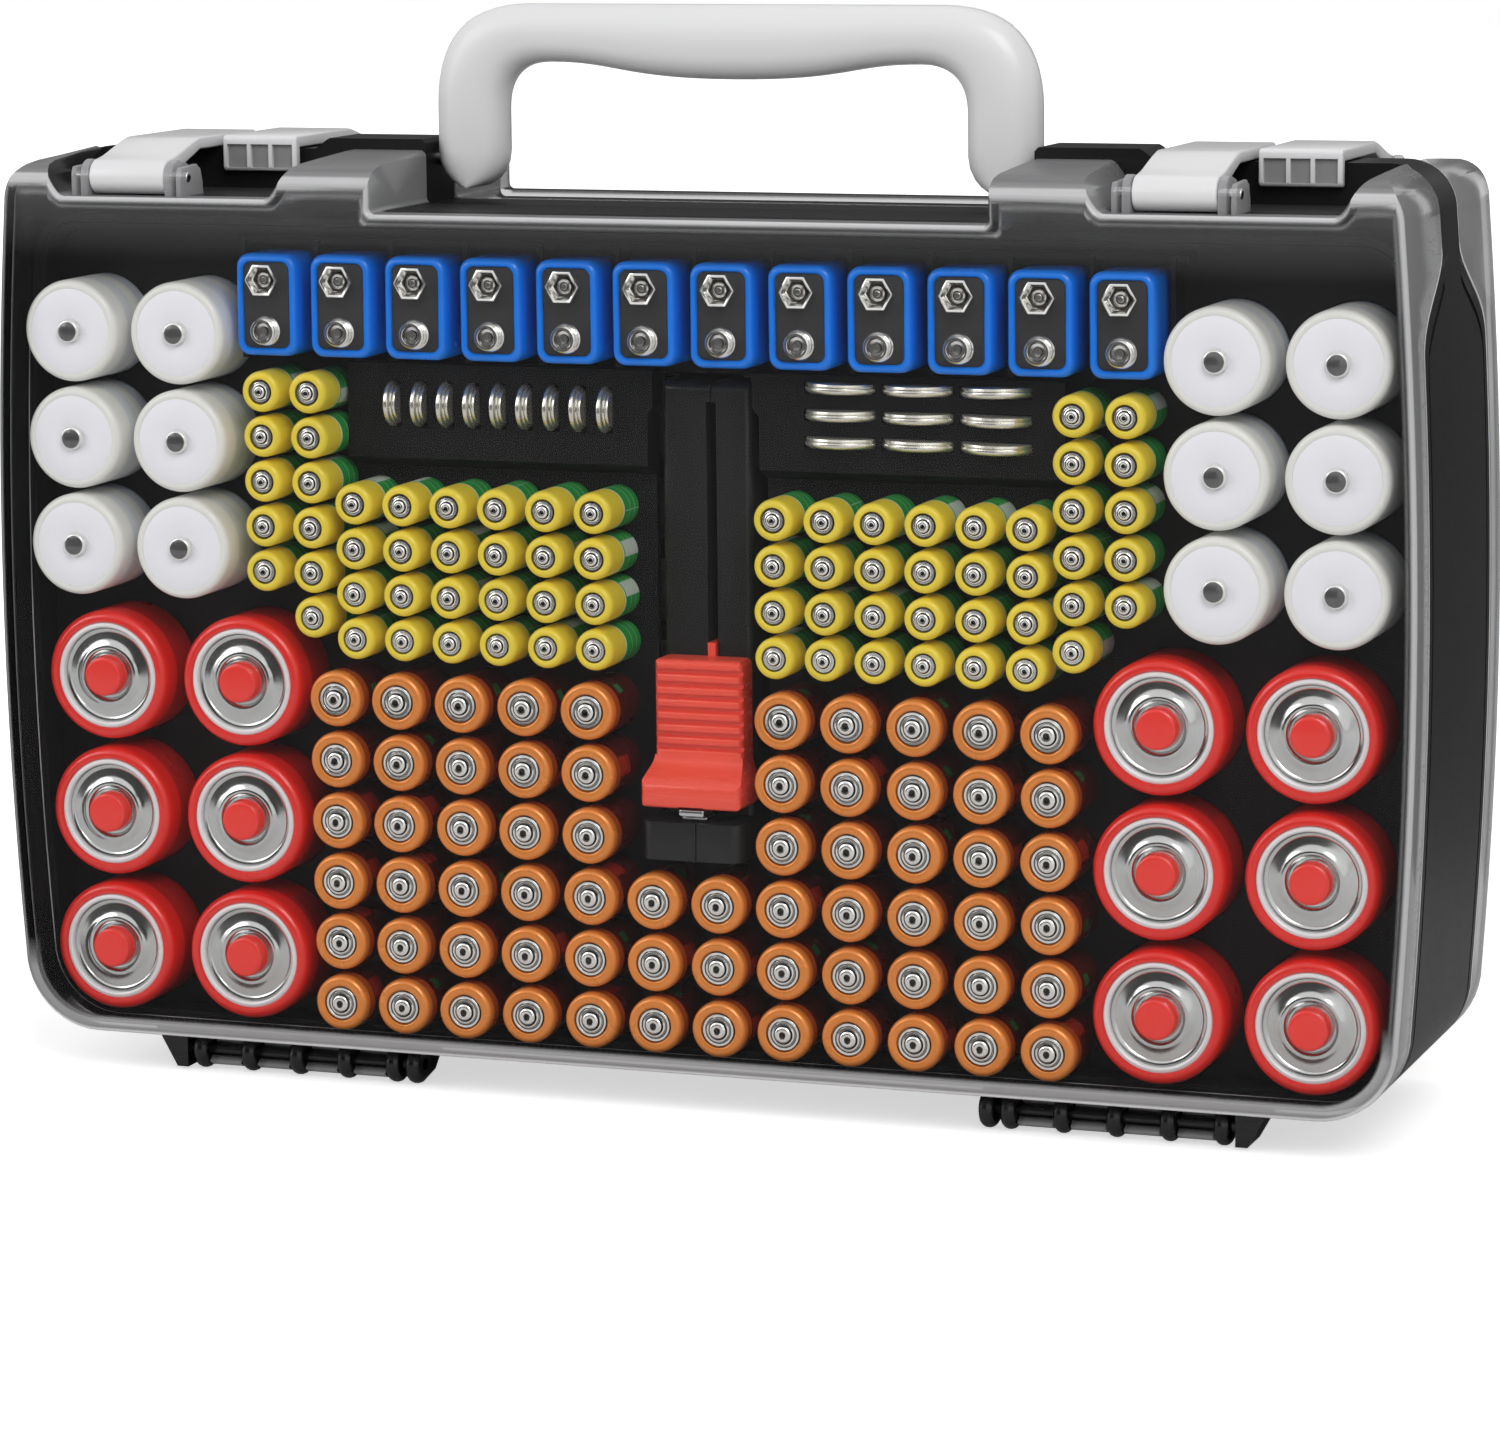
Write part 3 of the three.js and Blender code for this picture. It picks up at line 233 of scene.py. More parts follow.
# Kind, x in columns only, z, pitch, count, length and radius
LYING = (
    ("wide", 134.5, 197, 23.7, 3, 66, 9.1),
    ("small", 78.6, 187.4, 19.7, 3, 28.5, 7.8),
    ("silver", 39.4, 182.6, 21.3, 6, 36, 8.5),
    ("gold", 0, 183.8, 15.8, 10, 27, 5.9),
    ("orange", 141.5, 129.1, 17.3, 6, 50.5, 7.1),
    ("thin", 86.2, 129.5, 11, 7, 44.5, 5.15),
    ("green", 86.2, 52.5, 12.4, 2, 44.5, 5.15),
    ("green", 38.2, 52.5, 12.4, 2, 44.5, 5.15),
)
END_ROWS = (("thin", 204, 31.8, 5, 28, 5.1), ("green", 27.2, 47.7, 6, 44.5, 5.15))

# Stage: half width and height of the floor, and cards as two corners and two heights
FLOOR_HALF = 6000
FLOOR_Z = -0.2
CARDS = {
    "front_card": (-900, -560, 120, -760, 0, 330),
    "side_card": (230, 260, 900, 420, 0, 330),
    "back_card": (-460, 360, 210, 360, 200, 420),
}


# ---------- outlines, all in XZ or YZ points ----------

def smooth(t):
    return t * t * (3 - 2 * t)


def lerp(a, b, t):
    return a + (b - a) * t


def half_width(z, inset):
    share = (z - MIDDLE_Z) / (BODY_HEIGHT / 2)
    return CASE_WIDTH / 2 - SIDE_BOW * share * share - inset


def arc(x, z, radius, start, end, steps):
    """Points of an arc, angles in degrees."""
    angles = [math.radians(lerp(start, end, i / steps)) for i in range(steps + 1)]
    return [(x + radius * math.cos(a), z + radius * math.sin(a)) for a in angles]


def mirrored(points):
    return [(-x, z) for x, z in reversed(points)]


def right_side(inset, upper_inset, top_z, top_radius):
    """Right-hand half of an outline, from the bottom up to the end of its top corner."""
    bottom = BODY_BOTTOM + inset
    low_radius = BOTTOM_CORNER - inset
    start, end = bottom + low_radius, top_z - top_radius
    low_x = half_width(start, inset) - low_radius
    points = arc(low_x, start, low_radius, -90, 0, CORNER_STEPS)
    stepped = upper_inset > inset
    for i in range(1, SIDE_STEPS):
        z = lerp(start, end, i / SIDE_STEPS)
        if not stepped or z < STEP_Z:
            points.append((half_width(z, inset), z))
    if stepped:
        points += [(half_width(STEP_Z, inset), STEP_Z), (half_width(STEP_Z, upper_inset), STEP_Z)]
    top_x = half_width(end, upper_inset) - top_radius
    return points + arc(top_x, end, top_radius, 0, 90, CORNER_STEPS)


def s_curve(x_start, z_start, x_end, z_end):
    """Points of a soft step between two levels, ends left out."""
    shares = [i / CURVE_STEPS for i in range(1, CURVE_STEPS)]
    return [(lerp(x_start, x_end, t), lerp(z_start, z_end, smooth(t))) for t in shares]


def cover_top(inset):
    """Top edge of a cover from the right shoulder to its lowered centre."""
    inner, outer = LATCH_RECESS
    top = BODY_TOP - inset
    low = top - LATCH_RECESS_DEPTH
    near = RECESS_SLOPE / 4 - inset / 2
    a = (outer + RECESS_SLOPE + inset, top)
    b = (outer - near, low)
    c = (inner + near, low)
    d = (inner - RECESS_SLOPE - inset, top)
    wall, floor, r = CENTRE_HALF + inset, BODY_TOP - CENTRE_DEPTH - inset, RECESS_FILLET
    centre = [*arc(wall + r, top - r, r, 90, 180, 6), *arc(wall - r, floor + r, r, 0, -90, 6)]
    return [a, *s_curve(*a, *b), b, c, *s_curve(*c, *d), d, *centre]


def cover_outline(inset):
    radius = TOP_CORNER - inset
    end = BODY_TOP - TOP_CORNER
    side = right_side(inset, inset, BODY_TOP - inset, radius)[:-CORNER_STEPS - 1]
    corner_x = half_width(end, inset) - radius
    reach = max(0.0, LATCH_RECESS[1] + RECESS_SLOPE + inset - corner_x) / radius
    angle = math.degrees(math.acos(min(1.0, reach)))
    corner = arc(corner_x, end, radius, 0, angle, CORNER_STEPS)[:-1]
    right = side + corner + cover_top(inset)
    return right + mirrored(right)


def box_outline(inset, upper_inset):
    top = BODY_TOP - CENTRE_DEPTH - upper_inset
    right = right_side(inset, upper_inset, top, BOX_CORNER - upper_inset)
    return right + mirrored(right)


def parting_curve(offset):
    """Joint between cover and frame seen from the side, as an S between two lines."""
    low = -FACE_Y + RIM_DEPTH + offset
    high = -SPINE_HALF - CLEARANCE + offset
    run, rise = high - low, PARTING_HIGH - PARTING_LOW
    shares = [i / (CURVE_STEPS * 2) for i in range(CURVE_STEPS * 2 + 1)]
    return [(low + run * smooth(t), PARTING_LOW + rise * (t * 0.55 + 0.45 * math.sqrt(t)) - offset)
            for t in shares]


def hood_outline(inset):
    """Rounded top of the shoulders, seen from the side."""
    front = -FACE_Y + inset
    low = BODY_TOP - HOOD_RISE - HOOD_SLOPE - inset
    start = low - HOOD_RISE / 4
    shares = [i / CURVE_STEPS for i in range(CURVE_STEPS + 1)]
    curve = [(front + HOOD_RUN * (1 - math.sqrt(1 - t * t)), lerp(start, low + HOOD_RISE, t))
             for t in shares]
    return [(-FACE_Y - OVERRUN, -OVERRUN), (-FACE_Y - OVERRUN, start), *curve,
            (-SPINE_HALF, BODY_TOP - inset), (OVERRUN, BODY_TOP - inset), (OVERRUN, -OVERRUN)]


# ---------- closed shapes as (points, faces) ----------

def prism(outline, low, high, place):
    """An outline pulled from low to high; place orders its two coordinates and the depth."""
    n = len(outline)
    points = [place(a, b, depth) for depth in (low, high) for a, b in outline]
    sides = [(i, (i + 1) % n, n + (i + 1) % n, n + i) for i in range(n)]
    return points, [tuple(range(n)), tuple(range(2 * n - 1, n - 1, -1)), *sides]


def prism_y(outline, y_front, y_back):
    """An XZ outline pulled along Y."""
    return prism(outline, y_front, y_back, lambda x, z, y: (x, y, z))


def prism_x(outline, x_left, x_right):
    """A YZ outline pulled along X."""
    return prism(outline, x_left, x_right, lambda y, z, x: (x, y, z))


def prism_z(outline, z_low, z_high):
    """An XY outline pulled along Z."""
    return prism(outline, z_low, z_high, lambda x, y, z: (x, y, z))


def loft(rings):
    """A skin over rings of points with equal counts, closed by a face at both ends."""
    n = len(rings[0])
    points = [p for ring in rings for p in ring]
    faces = [tuple(range(n)), tuple(range(len(points) - 1, len(points) - n - 1, -1))]
    for r in range(len(rings) - 1):
        a, b = r * n, (r + 1) * n
        faces += [(a + i, a + (i + 1) % n, b + (i + 1) % n, b + i) for i in range(n)]
    return points, faces


def box(x0, x1, y0, y1, z0, z1):
    return prism_y([(x0, z0), (x1, z0), (x1, z1), (x0, z1)], y0, y1)


def rod_x(x0, x1, y, z, radius, sides=ROUND_SIDES):
    return prism_x(arc(y, z, radius, 0, 360, sides)[:-1], x0, x1)


def rod_y(x, y0, y1, z, radius, sides=ROUND_SIDES):
    return prism_y(arc(x, z, radius, 0, 360, sides)[:-1], y0, y1)


def lathe(profile, sides=ROUND_SIDES):
    """A closed solid turned about the Y axis from (radius, y) points; the first and the
    last point lie on the axis."""
    rings = profile[1:-1]
    points = [(0, profile[0][1], 0)]
    for radius, y in rings:
        points += [(radius * math.cos(a), y, radius * math.sin(a))
                   for a in (2 * math.pi * i / sides for i in range(sides))]
    points.append((0, profile[-1][1], 0))
    last = len(points) - 1
    faces = []
    for i in range(sides):
        j = (i + 1) % sides
        faces.append((0, 1 + j, 1 + i))
        for r in range(len(rings) - 1):
            a, b = 1 + r * sides, 1 + (r + 1) * sides
            faces.append((a + i, a + j, b + j, b + i))
        end = 1 + (len(rings) - 1) * sides
        faces.append((last, end + i, end + j))
    return points, faces


def moved(shape, x=0, y=0, z=0):
    return [(px + x, py + y, pz + z) for px, py, pz in shape[0]], shape[1]


def turned_half(shape):
    return [(-x, -y, z) for x, y, z in shape[0]], shape[1]


def flipped_x(shape):
    return [(-x, y, z) for x, y, z in shape[0]], [tuple(reversed(f)) for f in shape[1]]


def gathered(shapes):
    """Several closed shapes as one list of points and faces."""
    points, faces = [], []
    for p, f in shapes:
        base = len(points)
        points += p
        faces += [tuple(i + base for i in face) for face in f]
    return points, faces


# ---------- meshes and objects ----------

def mesh_from(name, shape):
    """A mesh in metres with its normals facing out."""
    mesh = bpy.data.meshes.new(name)
    mesh.from_pydata([(x * MM, y * MM, z * MM) for x, y, z in shape[0]], [], shape[1])
    work = bmesh.new()
    work.from_mesh(mesh)
    bmesh.ops.recalc_face_normals(work, faces=work.faces)
    work.to_mesh(mesh)
    work.free()
    return mesh


def object_from(name, mesh):
    obj = bpy.data.objects.new(name, mesh)
    bpy.context.scene.collection.objects.link(obj)
    return obj


def plain_mesh(obj, name):
    """The object's shape with its modifiers, as a new mesh; the object is removed."""
    bpy.context.view_layer.update()
    graph = bpy.context.evaluated_depsgraph_get()
    mesh = bpy.data.meshes.new_from_object(obj.evaluated_get(graph), depsgraph=graph)
    mesh.name = name
    old = obj.data
    bpy.data.objects.remove(obj)
    if old.users == 0:
        bpy.data.meshes.remove(old)
    return mesh


def carved(name, base, steps):
    """Joins, cuts or intersects closed shapes with a first one, in order."""
    body = object_from(name, mesh_from(name, base))
    tools = []
    for operation, shape in steps:
        tool = object_from(name + "_tool", mesh_from(name + "_tool", shape))
        change = body.modifiers.new(operation.lower(), "BOOLEAN")
        change.operation = operation
        change.solver = "MANIFOLD"
        change.object = tool
        tools.append(tool)
    mesh = plain_mesh(body, name)
    for tool in tools:
        data = tool.data
        bpy.data.objects.remove(tool)
        bpy.data.meshes.remove(data)
    return mesh


def shape_of(mesh):
    """A mesh back as points in millimetres and faces, for the next cut."""
    points = [tuple(c / MM for c in v.co) for v in mesh.vertices]
    return points, [tuple(p.vertices) for p in mesh.polygons]


def rounded_edges(name, mesh, width):
    """The mesh with its sharp edges rounded."""
    obj = object_from(name, mesh)
    edge = obj.modifiers.new("edges", "BEVEL")
    edge.width = width * MM
    edge.segments = 3
    edge.limit_method = "ANGLE"
    edge.angle_limit = math.radians(40)
    return plain_mesh(obj, name)


def finished(name, mesh, look, body, slot, replaced=(), sharp=30, bevel=0.0, turn=False):
    """Makes a mesh the finished piece: shading, edges, material by its short name, and its
    place in the frame."""
    if turn:
        mesh.transform(Matrix.Rotation(math.pi, 4, "Z"))
    if bevel:
        mesh = rounded_edges(name, mesh, bevel)
    mesh.shade_smooth()
    mesh.set_sharp_from_angle(angle=math.radians(sharp))
    mesh.materials.clear()
    mesh.materials.append(material(look))
    obj = object_from(name, mesh)
    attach(obj, body)
    if replaced:
        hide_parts(*replaced)
    return obj


# ---------- shader nodes and shared groups ----------

class Wires:
    """Short forms for the nodes of one tree. Values are numbers, colours or sockets."""

    def __init__(self, tree):
        self.tree = tree

    def node(self, kind, **values):
        """A new node with its properties set."""
        node = self.tree.nodes.new(kind)
        for key, value in values.items():
            setattr(node, key, value)
        return node

    def feed(self, socket, value):
        if isinstance(value, bpy.types.NodeSocket):
            self.tree.links.new(value, socket)
        elif socket.type == "RGBA" and len(value) == 3:
            socket.default_value = (*value, 1)
        else:
            socket.default_value = value

    def drive(self, node, **values):
        """Feeds the inputs of a node by name, with _ for a space."""
        for label, value in values.items():
            self.feed(node.inputs[label.replace("_", " ")], value)
        return node

    def math(self, operation, *values, clamp=False):
        node = self.node("ShaderNodeMath", operation=operation, use_clamp=clamp)
        for socket, value in zip(node.inputs, values):
            self.feed(socket, value)
        return node.outputs[0]

    def plus(self, a, b, clamp=False):
        return self.math("ADD", a, b, clamp=clamp)

    def minus(self, a, b):
        return self.math("SUBTRACT", a, b)

    def times(self, a, *others):
        for value in others:
            a = self.math("MULTIPLY", a, value)
        return a

    def larger(self, a, b):
        return self.math("MAXIMUM", a, b)

    def ramp(self, value, *ends):
        node = self.node("ShaderNodeMapRange")
        for socket, item in zip(node.inputs, (value, *ends)):
            self.feed(socket, item)
        return node.outputs[0]

    def band(self, value, low, high, soft):
        """1 where value lies between low and high, with soft ends."""
        return self.times(self.ramp(value, low - soft, low + soft, 0, 1),
                          self.ramp(value, high - soft, high + soft, 1, 0))

    def blend(self, factor, a, b):
        node = self.node("ShaderNodeMix", data_type="RGBA")
        for index, value in ((0, factor), (6, a), (7, b)):
            self.feed(node.inputs[index], value)
        return node.outputs[2]

    def split(self, vector):
        node = self.node("ShaderNodeSeparateXYZ")
        self.feed(node.inputs[0], vector)
        return node.outputs

    def place(self):
        """Distance from a cell's axis, place along it and angle round it."""
        return self.node("ShaderNodeAttribute", attribute_name="place").outputs["Vector"]

    def group(self, name, **values):
        """A shared group with its own values; gives its outputs."""
        return self.drive(self.node("ShaderNodeGroup", node_tree=shared(name)), **values).outputs

    def bump(self, shader, height, strength, distance):
        node = self.drive(self.node("ShaderNodeBump"), Strength=strength, Distance=distance * MM, Height=height)
        self.drive(shader, Normal=node.outputs["Normal"])


def node_group(name, inputs, outputs):
    """An empty shader group with named float inputs and outputs."""
    tree = bpy.data.node_groups.new(name, "ShaderNodeTree")
    for label, value in inputs:
        socket = tree.interface.new_socket(label, in_out="INPUT", socket_type="NodeSocketFloat")
        socket.default_value = value
    for label in outputs:
        tree.interface.new_socket(label, in_out="OUTPUT", socket_type="NodeSocketFloat")
    wires = Wires(tree)
    return wires, wires.node("NodeGroupInput"), wires.node("NodeGroupOutput")


def grain_group():
    """Fine moulded grain: a height for a bump, and a slow variation for colour and gloss."""
    wires, start, end = node_group(
        "Moulded grain", [("Grain Scale", 900.0), ("Cloud Scale", 14.0)], ["Height", "Cloud"])
    place = wires.node("ShaderNodeTexCoord").outputs["Object"]
    for scale, detail, result in (("Grain Scale", 3, "Height"), ("Cloud Scale", 4, "Cloud")):
        noise = wires.node("ShaderNodeTexNoise")
        wires.drive(noise, Vector=place, Scale=start.outputs[scale], Detail=detail)
        wires.feed(end.inputs[result], noise.outputs["Fac"])


def scratch_group():
    """Hair scratches and handling marks as one mask."""
    wires, start, end = node_group("Handling marks", [("Scale", 60.0), ("Amount", 0.3)], ["Mask"])
    stretch = wires.node("ShaderNodeMapping")
    wires.drive(stretch, Vector=wires.node("ShaderNodeTexCoord").outputs["Object"], Scale=(0.15, 1.0, 2.2),
                Rotation=(0.3, 0.9, 0.4))
    noise = wires.node("ShaderNodeTexNoise")
    wires.drive(noise, Vector=stretch.outputs["Vector"], Scale=start.outputs["Scale"], Detail=6, Roughness=0.65)
    sharp = wires.band(noise.outputs["Fac"], 0.49, 0.505, 0.006)
    wires.drive(end, Mask=wires.times(sharp, start.outputs["Amount"]))


def turning_group():
    """Fine turning rings about a cell's own axis, from the place attribute."""
    wires, start, end = node_group("Turning rings", [("Rings", 9.0)], ["Height", "Tone"])
    place = wires.place()
    noise = wires.drive(wires.node("ShaderNodeTexNoise"), Scale=2.2, Detail=4, Vector=place)
    wave = wires.times(wires.split(place)[0], start.outputs["Rings"])
    wires.drive(end, Height=wires.math("SINE", wave), Tone=noise.outputs["Fac"])


GROUPS = {
    "grain": ("Moulded grain", grain_group),
    "marks": ("Handling marks", scratch_group),
    "turning": ("Turning rings", turning_group),
}


def shared(name):
    """A shared node group, built once."""
    label, maker = GROUPS[name]
    if label not in bpy.data.node_groups:
        maker()
    return bpy.data.node_groups[label]


# ---------- materials ----------

def principled(name, color, roughness, metallic=0.0):
    """A new material, its Principled node and the wires of its tree."""
    material = bpy.data.materials.new(name)
    material.use_nodes = True
    wires = Wires(material.node_tree)
    shader = material.node_tree.nodes["Principled BSDF"]
    wires.drive(shader, Base_Color=color, Roughness=roughness, Metallic=metallic)
    return material, shader, wires


def moulded(name, color, roughness, grain=0.05, spread=0.25, scale=900.0, marks=0.2, shine=0.5):
    """Moulded plastic: cloudy colour, uneven gloss, fine grain and a few marks."""
    material, shader, wires = principled(name, color, roughness)
    texture = wires.group("grain", Grain_Scale=scale, Cloud_Scale=16.0)
    wear = wires.group("marks", Scale=70.0, Amount=marks)
    dark = tuple(c * (1 - spread) for c in color)
    light = tuple(min(1, c * (1 + spread)) for c in color)
    gloss = wires.plus(wires.times(texture["Cloud"], 0.12), roughness - 0.06)
    wires.drive(shader, Specular_IOR_Level=shine, Base_Color=wires.blend(texture["Cloud"], dark, light),
                Roughness=wires.plus(gloss, wires.times(wear["Mask"], 0.25)))
    wires.bump(shader, texture["Height"], grain, 0.2)
    return material


def clear_smoke():
    """Thin clear plastic: the pane is nearly invisible, rims read light grey, edges carry painted
    highlights and painted shade, and walls seen from inside are painted dark as shade and a dark reflection."""
    material, shader, wires = principled("clear_smoke", (0.3, 0.3, 0.31), 0.12)
    band, blend, times, plus, larger = wires.band, wires.blend, wires.times, wires.plus, wires.larger
    source = wires.node("ShaderNodeTexCoord")
    x, y, z = wires.split(source.outputs["Object"])
    across, ahead, up = wires.split(source.outputs["Normal"])
    depth = times(wires.math("ABSOLUTE", y), 1 / MM)
    height = times(z, 1 / MM)
    # Masks for the parts of a cover, by place and by the way that a face points
    front = band(depth, FACE_Y - COVER_WALL - 0.5, FACE_Y + 1, 0.3)
    pane = times(front, band(wires.math("ABSOLUTE", ahead), 0.93, 2.0, 0.04))
    outward = times(ahead, wires.math("SIGN", y))
    # Faces of the front bevel, which get a painted highlight and painted shade below
    turned = times(front, band(outward, 0.28, 0.9, 0.08))
    # Edge faces along the parting, toward the spine: made opaque and painted light grey as a highlight
    parting = times(band(times(outward, -1), 0.35, 2.0, 0.1), wires.minus(1, front))
    sideways = times(across, wires.math("SIGN", x))
    # Walls seen from inside, below the haze height or on the left half: painted dark as shade and a dark reflection,
    # with little shine
    dim = larger(band(height, -20, HAZE_LOW, 4), band(x, -1, -0.14, 0.005))
    inside = times(band(times(sideways, -1), 0.3, 2.0, 0.08), dim)
    upward = band(up, 0.8, 2.0, 0.1)
    low = times(upward, band(height, 0, BODY_TOP - 6, 1), band(y, -RECESS_EDGE * MM, 1, 0.001))
    sheer = times(low, band(depth, 0, RECESS_EDGE, 1))
    # Distance from the centres of the two bottom corners, for the hem along the lower edge
    start = BODY_BOTTOM + BOTTOM_CORNER
    beside = times(wires.math("ABSOLUTE", x), 1 / MM)
    beside = larger(wires.minus(beside, half_width(start, 0) - BOTTOM_CORNER), 0)
    below = larger(wires.minus(start, height), 0)
    reach = wires.math("SQRT", plus(times(beside, beside), times(below, below)))
    hem = times(band(reach, BOTTOM_CORNER - HEM_WIDTH, 60, 0.35), band(height, -20, start, 4), pane)
    texture = wires.group("grain", Grain_Scale=500.0, Cloud_Scale=22.0)
    wear = wires.group("marks", Scale=40.0, Amount=0.5)
    haze = plus(times(band(height, HAZE_LOW + 17, 400, 8), 0.13), times(hem, 0.6))
    alpha = wires.node("ShaderNodeMix")
    for socket, value in zip(alpha.inputs[:1] + alpha.inputs[2:4],
                             (pane, plus(times(texture["Cloud"], 0.2), 0.78), plus(haze, 0.015))):
        wires.feed(socket, value)
    solid = larger(larger(parting, upward), inside)
    filled = plus(alpha.outputs[0], times(solid, 0.5), True)
    # Colour of the front bevel: painted shade on its left-facing side, painted highlight on its downward side, light
    # grey elsewhere
    bevel = blend(band(across, -2.0, -0.4, 0.25), (0.58, 0.58, 0.59), (0.07, 0.07, 0.072))
    bevel = blend(band(up, -2.0, -0.4, 0.2), bevel, (0.92, 0.92, 0.93))
    color = (0.27, 0.272, 0.276)
    # Colours by mask: walls seen from inside painted dark as shade, bevel and parting edges painted light as
    # highlights
    for mask, tone in ((inside, (0.012, 0.012, 0.012)), (upward, (0.18, 0.18, 0.185)), (low, (0.035, 0.035, 0.036)),
                       (hem, (0.5, 0.5, 0.51)), (turned, bevel), (parting, (0.7, 0.7, 0.71))):
        color = blend(mask, color, tone)
    gloss = plus(plus(times(wear["Mask"], 0.2), 0.12), times(upward, 0.25))
    shine = wires.minus(0.5, times(larger(upward, inside), 0.42))
    wires.drive(shader, Alpha=wires.minus(filled, times(sheer, 0.45)), Base_Color=color, Roughness=gloss,
                Specular_IOR_Level=shine)
    return material


def pale_ear():
    """Clear plastic of the latch ears, paler where it is thick."""
    material = moulded("ear_clear", (0.5, 0.5, 0.51), 0.2, 0.02, 0.05, 600.0, 0.1)
    wires = Wires(material.node_tree)
    rim = wires.drive(wires.node("ShaderNodeLayerWeight"), Blend=0.3)
    wires.drive(wires.tree.nodes["Principled BSDF"], Alpha=wires.plus(wires.times(rim.outputs["Facing"], 0.3), 0.45))
    return material


def steel(name, color=(0.62, 0.62, 0.63), roughness=0.2, rings=9.0, depth=0.05, metallic=1.0, painted_dark_rings=(),
          dark=(0.04, 0.035, 0.03)):
    """Plated steel with faint turning rings and rings painted dark: painted shade in recessed rings and
    gaps, and a painted dark reflection on flat tops. Metallic under 1 leaves a share of plain colour, as light
    scattered between the cells."""
    material, shader, wires = principled(name, color, roughness, metallic)
    turning = wires.group("turning", Rings=rings)
    tint = wires.blend(turning["Tone"], tuple(c * 0.8 for c in color), color)
    if painted_dark_rings:
        # Rings painted dark: painted shade in recessed rings and gaps, and a painted dark reflection on flat tops
        radius = wires.split(wires.place())[0]
        for inner, outer in painted_dark_rings:
            tint = wires.blend(wires.band(radius, inner, outer, 0.05), tint, dark)
    wires.drive(shader, Base_Color=tint, Roughness=wires.plus(wires.times(turning["Tone"], 0.15), roughness - 0.06))
    wires.bump(shader, turning["Height"], depth, 0.05)
    return material


def cap_steel(name, painted_dark_rings, dark=(0.04, 0.035, 0.03), metallic=0.95):
    """Plated steel of a small cell's cap."""
    return steel(name, (0.88, 0.87, 0.84), 0.15, 14.0, 0.02, metallic, painted_dark_rings, dark)


def wrap(name, bands, roughness=0.3, metallic=0.0, patches=(), coat=0.0):
    """A printed wrap: bands of colour along a cell and patches part of the way round it,
    from the place attribute. The first band holds the ground colour."""
    ground = bands[0][1]
    material, shader, wires = principled(name, ground, roughness, metallic)
    _, along, around = wires.split(wires.place())
    texture = wires.group("grain", Grain_Scale=420.0, Cloud_Scale=60.0)
    cloud, height = texture["Cloud"], texture["Height"]
    color = ground
    for start, end, tone in bands[1:]:
        color = wires.blend(wires.band(along, start, end, 0.12), color, tone)
    for start, end, middle, half, tone in patches:
        mask = wires.times(wires.band(along, start, end, 0.15),
                           wires.band(around, middle - half, middle + half, 0.03))
        color = wires.blend(mask, color, tone)
    shade = wires.blend(wires.times(cloud, 0.22), color, tuple(c * 0.5 for c in ground))
    wires.drive(shader, Specular_IOR_Level=0.3, Coat_Weight=coat, Coat_Roughness=0.08, Base_Color=shade,
                Roughness=wires.plus(wires.times(cloud, 0.16), roughness - 0.08))
    wires.bump(shader, height, 0.04, 0.1)
    return material


